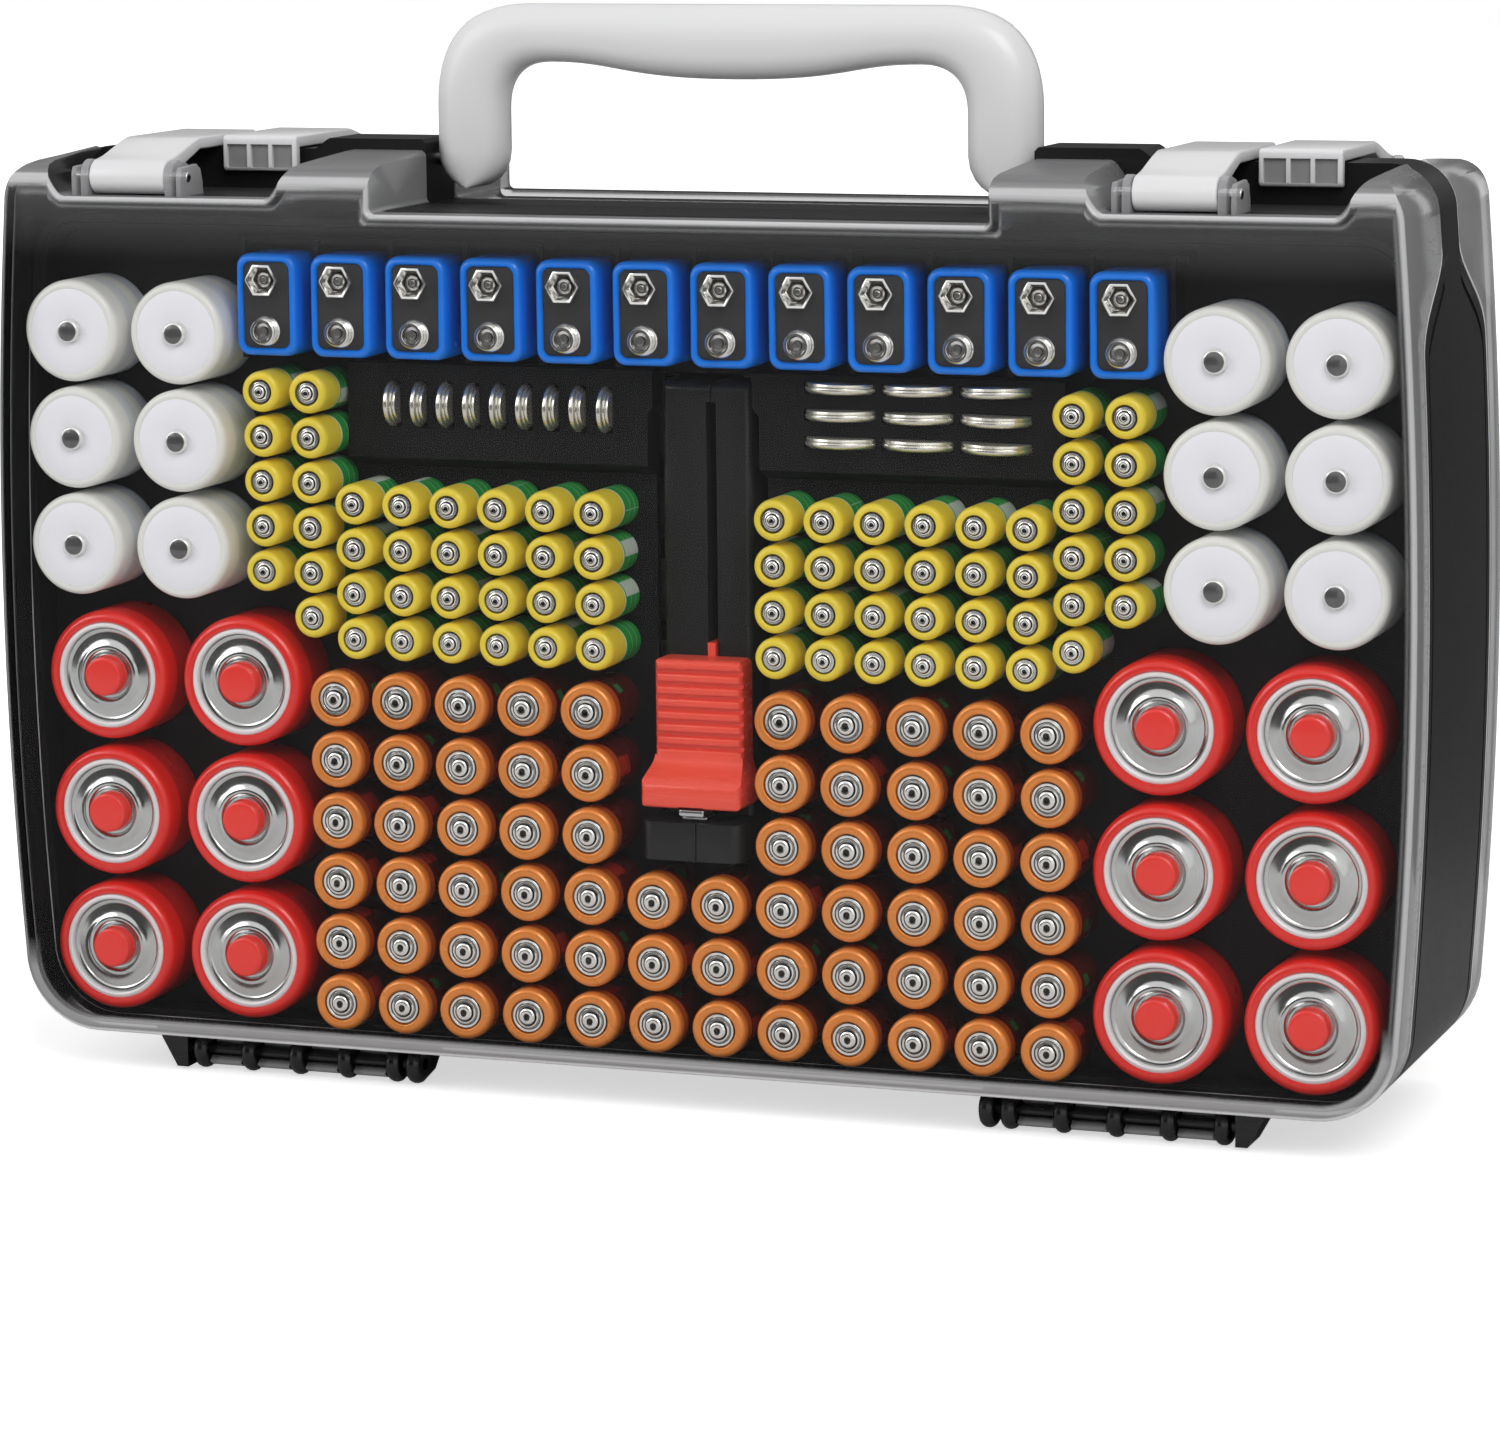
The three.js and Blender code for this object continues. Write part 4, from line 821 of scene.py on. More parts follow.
PATCH_RED = (0.45, 0.03, 0.015)
PATCH_GREEN = (0.03, 0.22, 0.06)
LINE_GREEN = (0.3, 0.6, 0.32)
MATERIAL_MAKERS = {
    "black": (moulded, "moulded_black", (0.0095, 0.0095, 0.0102), 0.42, 0.05, 0.25, 1800.0, 0.15, 0.12),
    "black_gloss": (moulded, "gloss_black", (0.0165, 0.0165, 0.0168), 0.3, 0.01, 0.12, 2600.0, 0.1, 0.25),
    "rod": (moulded, "rod_black", (0.005, 0.005, 0.005), 0.25, 0.02),
    "clear": (clear_smoke,),
    "ear": (pale_ear,),
    # Light strip on the covers' parting edge: a painted highlight
    "rim": (moulded, "rim_clear", (0.82, 0.82, 0.83), 0.15, 0.01, 0.03, 600.0, 0.1),
    "white": (moulded, "latch_white", (0.74, 0.74, 0.75), 0.3, 0.03, 0.02, 700.0, 0.1),
    # Dark grey of the panels in the latch lips' slots: painted shade
    "pocket": (moulded, "pocket_grey", (0.24, 0.24, 0.243), 0.5, 0.03, 0.1, 700.0, 0.1),
    "grey": (moulded, "handle_grey", (0.74, 0.74, 0.745), 0.3, 0.03, 0.02, 700.0, 0.1),
    "red": (moulded, "slider_red", (0.82, 0.08, 0.048), 0.27, 0.05, 0.06),
    "steel": (steel, "nickel_steel", (0.62, 0.62, 0.63), 0.16),
    "warm_steel": (steel, "button_steel", (0.78, 0.76, 0.68), 0.22, 9.0, 0.05, 0.85),
    "chrome": (steel, "cap_steel", (0.62, 0.63, 0.62), 0.14, 5.0, 0.03),
    "d_wrap": (wrap, "large_red_wrap", [(0, (0.74, 0.02, 0.013)), (7, 60, (0.42, 0.01, 0.008))], 0.3, 0.0,
               [(9, 24, 0.9, 0.5, (0.25, 0.006, 0.006))], 0.5),
    "d_ring": (moulded, "seal_white", (0.72, 0.72, 0.73), 0.25, 0.02, 0.03),
    "d_nub": (moulded, "nub_red", (0.78, 0.036, 0.026), 0.2, 0.03, 0.08),
    # Dark rings of the caps and terminals: painted shade in recessed rings and gaps, and a painted dark reflection on
    # the flat tops of the nubs
    "aa_cap": (cap_steel, "middle_cap_steel", [(3.98, 5.0), (3.12, 3.4), (2.1, 2.4), (-1, 0.85)]),
    "aaa_cap": (cap_steel, "thin_cap_steel", [(2.74, 3.3), (1.48, 1.74), (-1, 0.55)]),
    "crown": (cap_steel, "crown_steel", [(2.25, 2.85), (0.95, 1.15)]),
    "stud": (cap_steel, "stud_steel", [(2.05, 2.3), (1.15, 1.3)]),
    "c_nub": (cap_steel, "c_nub_steel", [(-1, 2.45)], (0.13, 0.13, 0.13), 0.5),
    "c_wrap": (wrap, "pale_wrap", [(0, (0.78, 0.775, 0.74)), (7, 12, (0.66, 0.68, 0.7)),
                                   (16, 30, (0.6, 0.64, 0.7))], 0.36, 0.0, (), 0.3),
    "c_disc": (moulded, "paper_disc", (0.8, 0.8, 0.84), 0.5, 0.05, 0.015),
    "aa_wrap": (wrap, "copper_wrap", [(0, (0.1, 0.008, 0.006)), (-2, 2.6, (0.8, 0.26, 0.045)),
                                      (2.6, 5.5, (0.5, 0.09, 0.015))], 0.27, 0.25,
                [(6, 12, 1.0, 0.35, PATCH_RED), (8, 11, -1.4, 0.2, PATCH_GREEN)], 0.4),
    "aaa_wrap": (wrap, "yellow_green_wrap", [
        (0, (0.02, 0.3, 0.05)), (-2, 9.0, (0.85, 0.64, 0.05)), (9.0, 9.6, (0.8, 0.84, 0.7)),
        (13, 13.35, LINE_GREEN), (16, 16.35, LINE_GREEN)], 0.32, 0.0,
        [(10.2, 19.5, 0.4, 0.4, (0.62, 0.68, 0.6))], 0.2),
    "jacket": (wrap, "blue_jacket", [(0, (0.003, 0.19, 0.8)), (4, 20, (0.002, 0.15, 0.68))], 0.24, 0.0, (), 0.3),
    "lead": (moulded, "terminal_board", (0.03, 0.03, 0.031), 0.55, 0.3, 0.2, 1400.0, 0.1, 0.2),
}
LYING_BANDS = {
    "wide": [(0, (0.78, 0.56, 0.08)), *((start, start + 2, (0.6, 0.03, 0.02)) for start in (50, 54, 58))],
    "small": [(0, (0.72, 0.74, 0.78)), (4, 15, (0.03, 0.2, 0.6))],
    "silver": [(0, (0.5, 0.5, 0.52)), (12, 28, (0.02, 0.02, 0.022))],
    "gold": [(0, (0.72, 0.72, 0.7)), (0, 8, (0.75, 0.45, 0.08))],
    "orange": [(0, (0.55, 0.03, 0.015)), (0, 10, (0.78, 0.22, 0.03)), (40, 51, (0.4, 0.02, 0.015))],
    "thin": [(0, (0.03, 0.3, 0.07)), (0, 12, (0.75, 0.5, 0.08)), (12, 26, (0.7, 0.72, 0.6))],
    "green": [(0, (0.03, 0.32, 0.07)), (0, 8, (0.74, 0.58, 0.06))],
}
MATERIALS = {}


def material(name):
    """A material by its short name, built once."""
    if name not in MATERIALS:
        if name.startswith("lying_"):
            maker, *values = wrap, name + "_wrap", LYING_BANDS[name[len("lying_"):]], 0.3
        else:
            maker, *values = MATERIAL_MAKERS[name]
        MATERIALS[name] = maker(*values)
    return MATERIALS[name]


# ---------- racks of like cells with Geometry Nodes ----------

RACK_INPUTS = (
    ("Places", "NodeSocketGeometry", None), ("Prototype", "NodeSocketObject", None),
    ("Axis", "NodeSocketVector", (0, 1, 0)), ("Lean", "NodeSocketFloat", 0.0), ("Sink", "NodeSocketFloat", 0.0),
    ("Seed", "NodeSocketInt", 1), ("Surface", "NodeSocketMaterial", None))
RACK_NODES = {
    "start": ("NodeGroupInput", {}),
    "end": ("NodeGroupOutput", {}),
    "info": ("GeometryNodeObjectInfo", {}),
    "spin": ("FunctionNodeRandomValue", {"data_type": "FLOAT"}),
    "lean": ("FunctionNodeRandomValue", {"data_type": "FLOAT_VECTOR"}),
    "sink": ("FunctionNodeRandomValue", {"data_type": "FLOAT"}),
    "around": ("ShaderNodeVectorMath", {"operation": "SCALE"}),
    "tilt": ("ShaderNodeVectorMath", {"operation": "SCALE"}),
    "total": ("ShaderNodeVectorMath", {"operation": "ADD"}),
    "copies": ("GeometryNodeInstanceOnPoints", {}),
    "slide": ("GeometryNodeTranslateInstances", {}),
    "amount": ("ShaderNodeMath", {"operation": "MULTIPLY"}),
    "shift": ("ShaderNodeVectorMath", {"operation": "SCALE"}),
    "real": ("GeometryNodeRealizeInstances", {}),
    "paint": ("GeometryNodeSetMaterial", {}),
}
RACK_VALUES = (
    ("spin", 2, 0), ("spin", 3, 2 * math.pi), ("lean", 0, (-1, -1, -1)), ("lean", 1, (1, 1, 1)),
    ("slide", "Local Space", False))
RACK_LINKS = (
    ("start", "Places", "copies", "Points"), ("start", "Prototype", "info", "Object"),
    ("info", "Geometry", "copies", "Instance"), ("start", "Seed", "spin", "Seed"), ("start", "Seed", "lean", "Seed"),
    ("start", "Seed", "sink", "Seed"), ("start", "Axis", "around", 0), ("spin", 1, "around", "Scale"),
    ("lean", 0, "tilt", 0), ("start", "Lean", "tilt", "Scale"), ("around", 0, "total", 0), ("tilt", 0, "total", 1),
    ("total", 0, "copies", "Rotation"), ("copies", "Instances", "slide", "Instances"), ("sink", 1, "amount", 0),
    ("start", "Sink", "amount", 1), ("start", "Axis", "shift", 0), ("amount", 0, "shift", "Scale"),
    ("shift", 0, "slide", "Translation"), ("slide", "Instances", "real", "Geometry"),
    ("real", "Geometry", "paint", "Geometry"), ("start", "Surface", "paint", "Material"),
    ("paint", "Geometry", "end", "Cells"))


def rack_tree():
    """Copies a prototype to each vertex of a mesh, each with a small turn of its own."""
    tree = bpy.data.node_groups.new("Cell rack", "GeometryNodeTree")
    ids = {}
    for label, kind, value in RACK_INPUTS:
        socket = tree.interface.new_socket(label, in_out="INPUT", socket_type=kind)
        if value is not None:
            socket.default_value = value
        ids[label] = socket.identifier
    tree.interface.new_socket("Cells", in_out="OUTPUT", socket_type="NodeSocketGeometry")
    wires = Wires(tree)
    nodes = {name: wires.node(kind, **values) for name, (kind, values) in RACK_NODES.items()}
    for name, key, value in RACK_VALUES:
        nodes[name].inputs[key].default_value = value
    for source, result, target, entry in RACK_LINKS:
        tree.links.new(nodes[source].outputs[result], nodes[target].inputs[entry])
    return tree, ids


RACK = {}


def marked(mesh, along_axis):
    """Stores each point's distance from the axis, its place along it in millimetres and its
    angle round Y."""
    place = mesh.attributes.new("place", "FLOAT_VECTOR", "POINT")
    for vertex, value in zip(mesh.vertices, place.data):
        co = vertex.co / MM
        along, other = (co.y, co.x) if along_axis == 1 else (co.x, co.y)
        value.vector = (math.hypot(co.z, other), along, math.atan2(co.z, co.x))
    return mesh


def rack(name, shape, places, look, slot, replaced=(), lean=0.0, sink=0.0, seed=1,
         along_axis=1, sharp=40, spin=True):
    """One piece made of a shape at each place."""
    if not RACK:
        RACK["tree"], RACK["ids"] = rack_tree()
    proto = object_from(name + "_prototype", marked(mesh_from(name + "_prototype", shape), along_axis))
    points = bpy.data.meshes.new(name + "_places")
    points.from_pydata([(x * MM, y * MM, z * MM) for x, y, z in places], [], [])
    holder = object_from(name + "_places", points)
    nodes = holder.modifiers.new("rack", "NODES")
    nodes.node_group = RACK["tree"]
    ids = RACK["ids"]
    nodes[ids["Prototype"]] = proto
    axis = (0.0, 1.0, 0.0) if along_axis == 1 else (1.0, 0.0, 0.0)
    nodes[ids["Axis"]] = axis if spin else (0.0, 0.0, 0.0)
    nodes[ids["Lean"]] = math.radians(lean)
    nodes[ids["Sink"]] = sink * MM
    nodes[ids["Seed"]] = seed
    nodes[ids["Surface"]] = material(look)
    mesh = plain_mesh(holder, name)
    data = proto.data
    bpy.data.objects.remove(proto)
    bpy.data.meshes.remove(data)
    return finished(name, mesh, look, "case", slot, replaced, sharp)


# ---------- places ----------

def large_places(cell):
    return [(side * x, cell["front"], cell["top"] - row * cell["pitch"])
            for side in (-1, 1) for x in cell["columns"] for row in range(LARGE_ROWS)]


def aa_places():
    columns, rows = AA_GRID
    places = []
    for column in range(columns):
        share = column - (columns - 1) / 2
        first = AA_SHORT_FROM if abs(share) < 1 else 0
        places += [(share * AA_PITCH[0], AA_FRONT, AA_TOP_Z - row * AA_PITCH[1]) for row in range(first, rows)]
    return places


def aaa_places():
    places = []
    for side in (-1, 1):
        for column in range(AAA_GRID[0]):
            places += [(side * (AAA_FIRST_X + column * AAA_PITCH[0]), AAA_FRONT, AAA_TOP_Z - row * AAA_PITCH[1])
                       for row in range(AAA_GRID[1])]
        for column, rows in enumerate(AAA_OUTER_ROWS):
            places += [(side * (AAA_OUTER_X + column * AAA_PITCH[0]), AAA_FRONT, AAA_OUTER_TOP_Z - row * AAA_PITCH[1])
                       for row in range(rows)]
    return places


def block_places():
    return [((i - (BLOCK_COUNT - 1) / 2) * BLOCK_PITCH, BLOCK_FRONT, BLOCK_Z) for i in range(BLOCK_COUNT)]


# ---------- pieces ----------

def disc_starts():
    """Left ends of the discs between a hinge's cheek and its bracket."""
    first = HINGE_START + DISC_THICKNESS + LUG_GAP
    return [first + i * DISC_PITCH for i in range(DISC_COUNT)]


def hinge_disc(x0, x1):
    web_top = BODY_BOTTOM + FRAME_WALL / 2
    rings = []
    for share, inset in ((0, 1.5), (0.06, 0.85), (0.2, 0.3), (0.4, 0), (0.6, 0), (0.8, 0.3), (0.94, 0.85), (1, 1.5)):
        profile = [*arc(-HINGE_Y, HINGE_Z, DISC_RADIUS - inset, 90, 290, 20), (-HINGE_Y + 7, 1.4 + inset),
                   (-HINGE_Y + WEB_LENGTH, web_top), (-HINGE_Y, web_top)]
        rings.append([(lerp(x0, x1, share), y, z) for y, z in profile])
    return loft(rings)


def frame_hinges():
    """Cheek, discs and bracket of one hinge group, as separate closed shapes."""
    starts = disc_starts()
    end = starts[-1] + DISC_THICKNESS + LUG_GAP
    shapes = [hinge_disc(HINGE_START, HINGE_START + DISC_THICKNESS)]
    shapes += [hinge_disc(x, x + DISC_THICKNESS) for x in starts]
    slope = [(end, 0.6), (end + BRACKET_END, 0.6), (end + BRACKET_LENGTH, BODY_BOTTOM + 1), (end, BODY_BOTTOM + 1)]
    shapes.append(prism_y(slope, -HINGE_Y - DISC_RADIUS * 0.8, -HINGE_Y + DISC_RADIUS * 1.6))
    return gathered(shapes)


def behind_parting(offset):
    """The space behind the joint between front cover and frame."""
    curve = parting_curve(offset)
    profile = [(curve[0][0], -OVERRUN), *curve, (0, curve[-1][1]), (0, -OVERRUN)]
    return prism_x(profile, -CASE_WIDTH, CASE_WIDTH)


def spine_outline():
    """Outline of the spine, with the low bars beside the handle's recess."""
    side = right_side(0, 0, BODY_TOP, TOP_CORNER)
    inner = CENTRE_HALF + CLEARANCE
    rise = BODY_TOP + BAR_RISE
    bar = [(BAR_END, BODY_TOP), (BAR_END - BAR_SLOPE * 0.8, rise - 0.4), (BAR_END - BAR_SLOPE, rise),
           (inner + 1, rise), (inner, rise - 1), (inner, BODY_TOP - CENTRE_DEPTH)]
    right = side + bar
    return right + mirrored(right)


def build_frame():
    front = -FACE_Y + RIM_DEPTH + CLEARANCE
    fence = behind_parting(CLEARANCE)
    fences = carved("fence", fence, [("UNION", turned_half(fence))])
    wall = carved("wall", prism_y(cover_outline(0), front, -front), [("INTERSECT", shape_of(fences))])
    box_skin = prism_y(box_outline(FRAME_WALL / 2, COVER_WALL + CLEARANCE), front, -front)
    low = box(-CASE_WIDTH, CASE_WIDTH, -FACE_Y, FACE_Y, 0, STEP_Z)
    upper = carved("upper", box_skin, [("DIFFERENCE", low)])
    ring = carved("ring", prism_y(cover_outline(-OVERRUN), -FACE_Y, FACE_Y), [
        ("DIFFERENCE", prism_y(cover_outline(GROOVE_DEPTH), -CASE_DEPTH, CASE_DEPTH)),
        ("INTERSECT", behind_parting(CLEARANCE + GROOVE_OFFSET)),
        ("DIFFERENCE", behind_parting(CLEARANCE + GROOVE_OFFSET + GROOVE_WIDTH))])
    groove = shape_of(ring)
    hinges = frame_hinges()
    cut = prism_y(box_outline(FRAME_WALL, COVER_WALL + CLEARANCE + UPPER_WALL), -CASE_DEPTH, CASE_DEPTH)
    steps = [("DIFFERENCE", groove), ("DIFFERENCE", turned_half(groove)),
             ("UNION", shape_of(upper)),
             ("UNION", prism_y(spine_outline(), -SPINE_HALF, SPINE_HALF)),
             ("DIFFERENCE", cut)]
    mesh = carved("middle_frame_shell", shape_of(wall), steps)
    for spare in (fences, wall, upper, ring):
        bpy.data.meshes.remove(spare)
    finished("middle_frame_shell", mesh, "black", "case", "black_plastic", ["middle_frame"],
             bevel=FRAME_EDGE)
    pair = gathered([hinges, flipped_x(hinges)])
    groups = gathered([pair, turned_half(pair)])
    finished("hinge_discs", mesh_from("hinge_discs", groups), "rod", "case", "black_rod", sharp=42)


def cover_hooks():
    """Open hooks that hold the cover on its rod, between the frame's discs."""
    starts = disc_starts()
    inner = PIN_RADIUS + CLEARANCE
    outer = inner + HOOK_THICKNESS
    top = BODY_BOTTOM + COVER_WALL / 2
    shapes = []
    for i in range(DISC_COUNT - 1):
        left, right = starts[i] + DISC_THICKNESS + CLEARANCE, starts[i + 1] - CLEARANCE
        ring = [*arc(-HINGE_Y, HINGE_Z, outer, 60, -140, 20), *arc(-HINGE_Y, HINGE_Z, inner, -140, 60, 16)]
        shapes.append(prism_x(ring, left, right))
        web = [(-HINGE_Y + inner * 0.6, HINGE_Z + inner), (-HINGE_Y + outer * 0.9, HINGE_Z + inner),
               (-HINGE_Y + outer * 0.9, top), (-HINGE_Y - outer * 0.2, top)]
        shapes.append(prism_x(web, left, right))
    return shapes


def latch_ears(x):
    floor = BODY_TOP - LATCH_RECESS_DEPTH - COVER_WALL / 2
    back = ROLL_Y + EAR_DEPTH
    profile = [(ROLL_Y - ROLL_RADIUS, floor), (back, floor),
               (back - 0.4, floor + 4), (back - 1.6, ROLL_Z + 2), *arc(ROLL_Y + 4.8, ROLL_Z + 1.6, 1.6, 30, 90, 4),
               *arc(ROLL_Y, ROLL_Z, ROLL_RADIUS, 80, 180, 8)]
    low = [p for p in profile if p[1] < ROLL_Z + 3]
    inner = LATCH_WIDTH / 2 + CLEARANCE
    shapes = []
    for plate, near, far in ((profile, 0, 0.45), (low, 0.7, 1)):
        for side in (-1, 1):
            ends = [x + side * (inner + EAR_WIDTH * share) for share in (near, far)]
            shapes.append(prism_x(plate, *sorted(ends)))
    return gathered(shapes)


def cover_mesh():
    """The front cover; the back one is the same, turned half round."""
    back = -SPINE_HALF - CLEARANCE
    ends = [(0, 1), (0.05, 0.72), (0.16, 0.42), (0.32, 0.2), (0.58, 0.05), (1, 0)]
    rings = [[(x, -FACE_Y + FACE_BEVEL * depth, z) for x, z in cover_outline(FACE_BEVEL * inset)]
             for depth, inset in ends]
    rings.append([(x, back, z) for x, z in cover_outline(0)])
    inner_ends = [(COVER_WALL, FACE_BEVEL * 0.6), (COVER_WALL + 0.5, 0.4), (COVER_WALL + 1.2, 0)]
    inner = [[(x, -FACE_Y + y, z) for x, z in cover_outline(COVER_WALL + extra)] for y, extra in inner_ends]
    inner.append([(x, OVERRUN, z) for x, z in cover_outline(COVER_WALL)])
    room = carved("room", loft(inner), [("INTERSECT", prism_x(hood_outline(COVER_WALL), -CASE_WIDTH, CASE_WIDTH))])
    steps = [("INTERSECT", prism_x(hood_outline(0), -CASE_WIDTH, CASE_WIDTH)),
             ("DIFFERENCE", shape_of(room))]
    # A thin strip of the cover along its parting edge, kept apart for a light material as a painted highlight
    rim = carved("cover_rim", loft(rings), steps + [("DIFFERENCE", behind_parting(0)),
                                                    ("INTERSECT", behind_parting(-EDGE_HIGHLIGHT_WIDTH))])
    steps.append(("DIFFERENCE", behind_parting(-EDGE_HIGHLIGHT_WIDTH)))
    for part in range(2):
        hooks = gathered(cover_hooks()[part::2])
        steps += [("UNION", hooks), ("UNION", flipped_x(hooks))]
    mesh = carved("cover", loft(rings), steps)
    bpy.data.meshes.remove(room)
    return mesh, rim


def build_covers():
    shell, rim = cover_mesh()
    ears = mesh_from("latch_ears", gathered([latch_ears(x) for x in LATCH_CENTRES.values()]))
    slot = "smoke_clear_plastic"
    for side, turn in (("front", False), ("back", True)):
        body = side + "_cover"
        # The strip along the parting edge is a painted highlight
        finished(body + "_rim", rim.copy(), "rim", body, slot, turn=turn)
        finished(side + "_latch_ears", ears.copy(), "ear", body, slot, bevel=EAR_EDGE, turn=turn)
        finished(body + "_shell", shell.copy(), "clear", body, slot, [body], 34, COVER_EDGE, turn)
    for mesh in (shell, rim, ears):
        bpy.data.meshes.remove(mesh)


def latch_shape(x):
    """Plate with a rolled front and a hooked lip."""
    roll = arc(ROLL_Y, ROLL_Z, ROLL_RADIUS, 300, 100, 22)
    plate_end = SPINE_HALF + LATCH_LIP_GAP + LATCH_LIP
    under = PLATE_TOP - LATCH_PLATE
    ramp = [(lerp(ROLL_Y, ROLL_Y + LATCH_RAMP, t), lerp(ROLL_Z + ROLL_RADIUS, PLATE_TOP, smooth(t) * 0.4 + t * 0.6))
            for t in (0.15, 0.3, 0.45, 0.6, 0.75, 0.9)]
    lip = [(plate_end - 1, PLATE_TOP), (plate_end - 0.3, PLATE_TOP - 0.3), (plate_end, PLATE_TOP - 1),
           (plate_end, under - LATCH_LIP_DROP + 0.8), (plate_end - 0.8, under - LATCH_LIP_DROP),
           (plate_end - LATCH_LIP, under - LATCH_LIP_DROP), (plate_end - LATCH_LIP, under)]
    profile = [*roll, *ramp, (ROLL_Y + LATCH_RAMP, PLATE_TOP), *lip,
               (ROLL_Y + LATCH_RAMP, under), (ROLL_Y + ROLL_RADIUS * 0.9, ROLL_Z + 1)]
    return prism_x(profile, x - LATCH_WIDTH / 2, x + LATCH_WIDTH / 2)


def build_latches():
    other = {"left": "right", "right": "left"}
    reach = LATCH_WIDTH / 2 + EAR_WIDTH + CLEARANCE * 2
    for side, x in LATCH_CENTRES.items():
        face = SPINE_HALF + LATCH_LIP_GAP + LATCH_LIP
        half, top = LATCH_WIDTH / 2, PLATE_TOP - LATCH_LIP_TOP
        bottom = PLATE_TOP - LATCH_PLATE - LATCH_LIP_DROP + 0.9
        spans = ((-half + 1.2, -half * 0.34), (-half * 0.24, half * 0.24), (half * 0.34, half - 1.2))
        slots = gathered([box(x + a, x + b, face - 1.2, face + 1, bottom, top) for a, b in spans])
        plate = rounded_edges("latch", mesh_from("latch", latch_shape(x)), 0.6)
        plate = carved("latch", shape_of(plate), [("DIFFERENCE", slots)])
        # Thin dark grey panels set into the lip's slots: painted shade in the hollow of the hook
        panels = gathered([box(x + a + 0.02, x + b - 0.02, face - 1.18, face - 1, bottom + 0.02, top - 0.02)
                           for a, b in spans])
        shade = mesh_from("latch_pocket", panels)
        pin = marked(mesh_from("latch_pin", rod_x(x - reach, x + reach, ROLL_Y, ROLL_Z, LATCH_PIN_RADIUS, 20)), 0)
        for front, end, turn in (("front", side, False), ("back", other[side], True)):
            finished(f"{front}_latch_{end}_plate", plate.copy(), "white", f"{front}_latch_{end}",
                     "white_plastic", [f"{front}_latch_{end}"], turn=turn)
            finished(f"{front}_latch_{end}_pockets", shade.copy(), "pocket", f"{front}_latch_{end}",
                     "white_plastic", turn=turn)
            finished(f"{front}_latch_{end}_axle", pin.copy(), "steel", f"{front}_cover",
                     "steel", [f"{front}_latch_pin_{end}"], bevel=METAL_EDGE, turn=turn)
        for mesh in (plate, shade, pin):
            bpy.data.meshes.remove(mesh)


def quadratic(a, b, c, t):
    return tuple((1 - t) ** 2 * a[i] + 2 * t * (1 - t) * b[i] + t * t * c[i] for i in (0, 1))


def cubic(a, b, c, d, t):
    return tuple((1 - t) ** 3 * a[i] + 3 * t * (1 - t) ** 2 * b[i] + 3 * t * t * (1 - t) * c[i] + t ** 3 * d[i]
                 for i in (0, 1))


def handle_pairs():
    """Outer and inner points of the right half of the handle, from the foot to the middle."""
    outer, inner = HANDLE_HALF, HANDLE_HALF - HANDLE_LEG
    radius = HANDLE_LEG / 2
    foot = HANDLE_PIVOT_Z + HANDLE_PIN_RADIUS
    under = HANDLE_TOP - HANDLE_BAR
    middle = (outer + inner) / 2
    pairs = []
    for angle in (88, 78, 66, 52, 36, 18, 0):
        half = radius * math.cos(math.radians(angle))
        z = foot - radius * math.sin(math.radians(angle))
        pairs.append(((middle + half, z), (middle - half, z)))
    for t in (0.33, 0.66):
        pairs.append(((outer, lerp(foot, HANDLE_TOP - HANDLE_OUTER, t)),
                      (inner, lerp(foot, under - HANDLE_INNER, t))))
    bends = (((outer, HANDLE_TOP - HANDLE_OUTER), (outer, HANDLE_TOP), (outer - HANDLE_OUTER, HANDLE_TOP)),
             ((inner, under - HANDLE_INNER), (inner, under), (inner - HANDLE_INNER, under)))
    for i in range(HANDLE_BEND_STEPS + 1):
        pairs.append(tuple(quadratic(*bend, i / HANDLE_BEND_STEPS) for bend in bends))
    grip = ((inner - HANDLE_INNER, under), (inner / 2, under), (inner / 2, under - GRIP_BULGE),
            (0, under - GRIP_BULGE))
    for i in range(1, HANDLE_GRIP_STEPS + 1):
        t = i / HANDLE_GRIP_STEPS
        pairs.append(((lerp(outer - HANDLE_OUTER, 0, t), HANDLE_TOP), cubic(*grip, t)))
    return pairs


def build_handle():
    right = handle_pairs()
    left = [((-o[0], o[1]), (-i[0], i[1])) for o, i in reversed(right[:-1])]
    rings = []
    power = 2 / HANDLE_SQUARENESS
    for outer, inner in right + left:
        ring = []
        for k in range(HANDLE_SIDES):
            angle = 2 * math.pi * k / HANDLE_SIDES
            c, s = math.cos(angle), math.sin(angle)
            across = math.copysign(abs(c) ** power, c)
            deep = math.copysign(abs(s) ** power, s)
            x = lerp(inner[0], outer[0], (across + 1) / 2)
            z = lerp(inner[1], outer[1], (across + 1) / 2)
            ring.append((x, deep * HANDLE_DEPTH / 2, z))
        rings.append(ring)
    finished("handle_grip", mesh_from("handle_grip", loft(rings)), "grey", "handle",
             "handle_grey_plastic", ["handle"], 60)
    for side, end in ((-1, "left"), (1, "right")):
        x0, x1 = sorted((side * (CENTRE_HALF - 8), side * (CENTRE_HALF + 8)))
        pin = marked(mesh_from("pin", rod_x(x0, x1, 0, HANDLE_PIVOT_Z, HANDLE_PIN_RADIUS, 24)), 0)
        finished(f"handle_axle_{end}", pin, "steel", "case", "steel", [f"handle_pin_{end}"], bevel=METAL_EDGE)


def build_hinge_pins():
    end = disc_starts()[-1] + DISC_THICKNESS + LUG_GAP + BRACKET_END - CLEARANCE
    rod = mesh_from("hinge_rod", rod_x(HINGE_START, end, -HINGE_Y, HINGE_Z, PIN_RADIUS, 24))
    for name, flip, turn in (("front_hinge_pin_right", False, False), ("front_hinge_pin_left", True, False),
                             ("back_hinge_pin_left", False, True), ("back_hinge_pin_right", True, True)):
        mesh = rod.copy()
        if flip:
            mesh.transform(Matrix.Scale(-1, 4, (1, 0, 0)))
            mesh.flip_normals()
        finished(name + "_rod", mesh, "rod", "case", "black_rod", [name], bevel=METAL_EDGE, turn=turn)
    bpy.data.meshes.remove(rod)


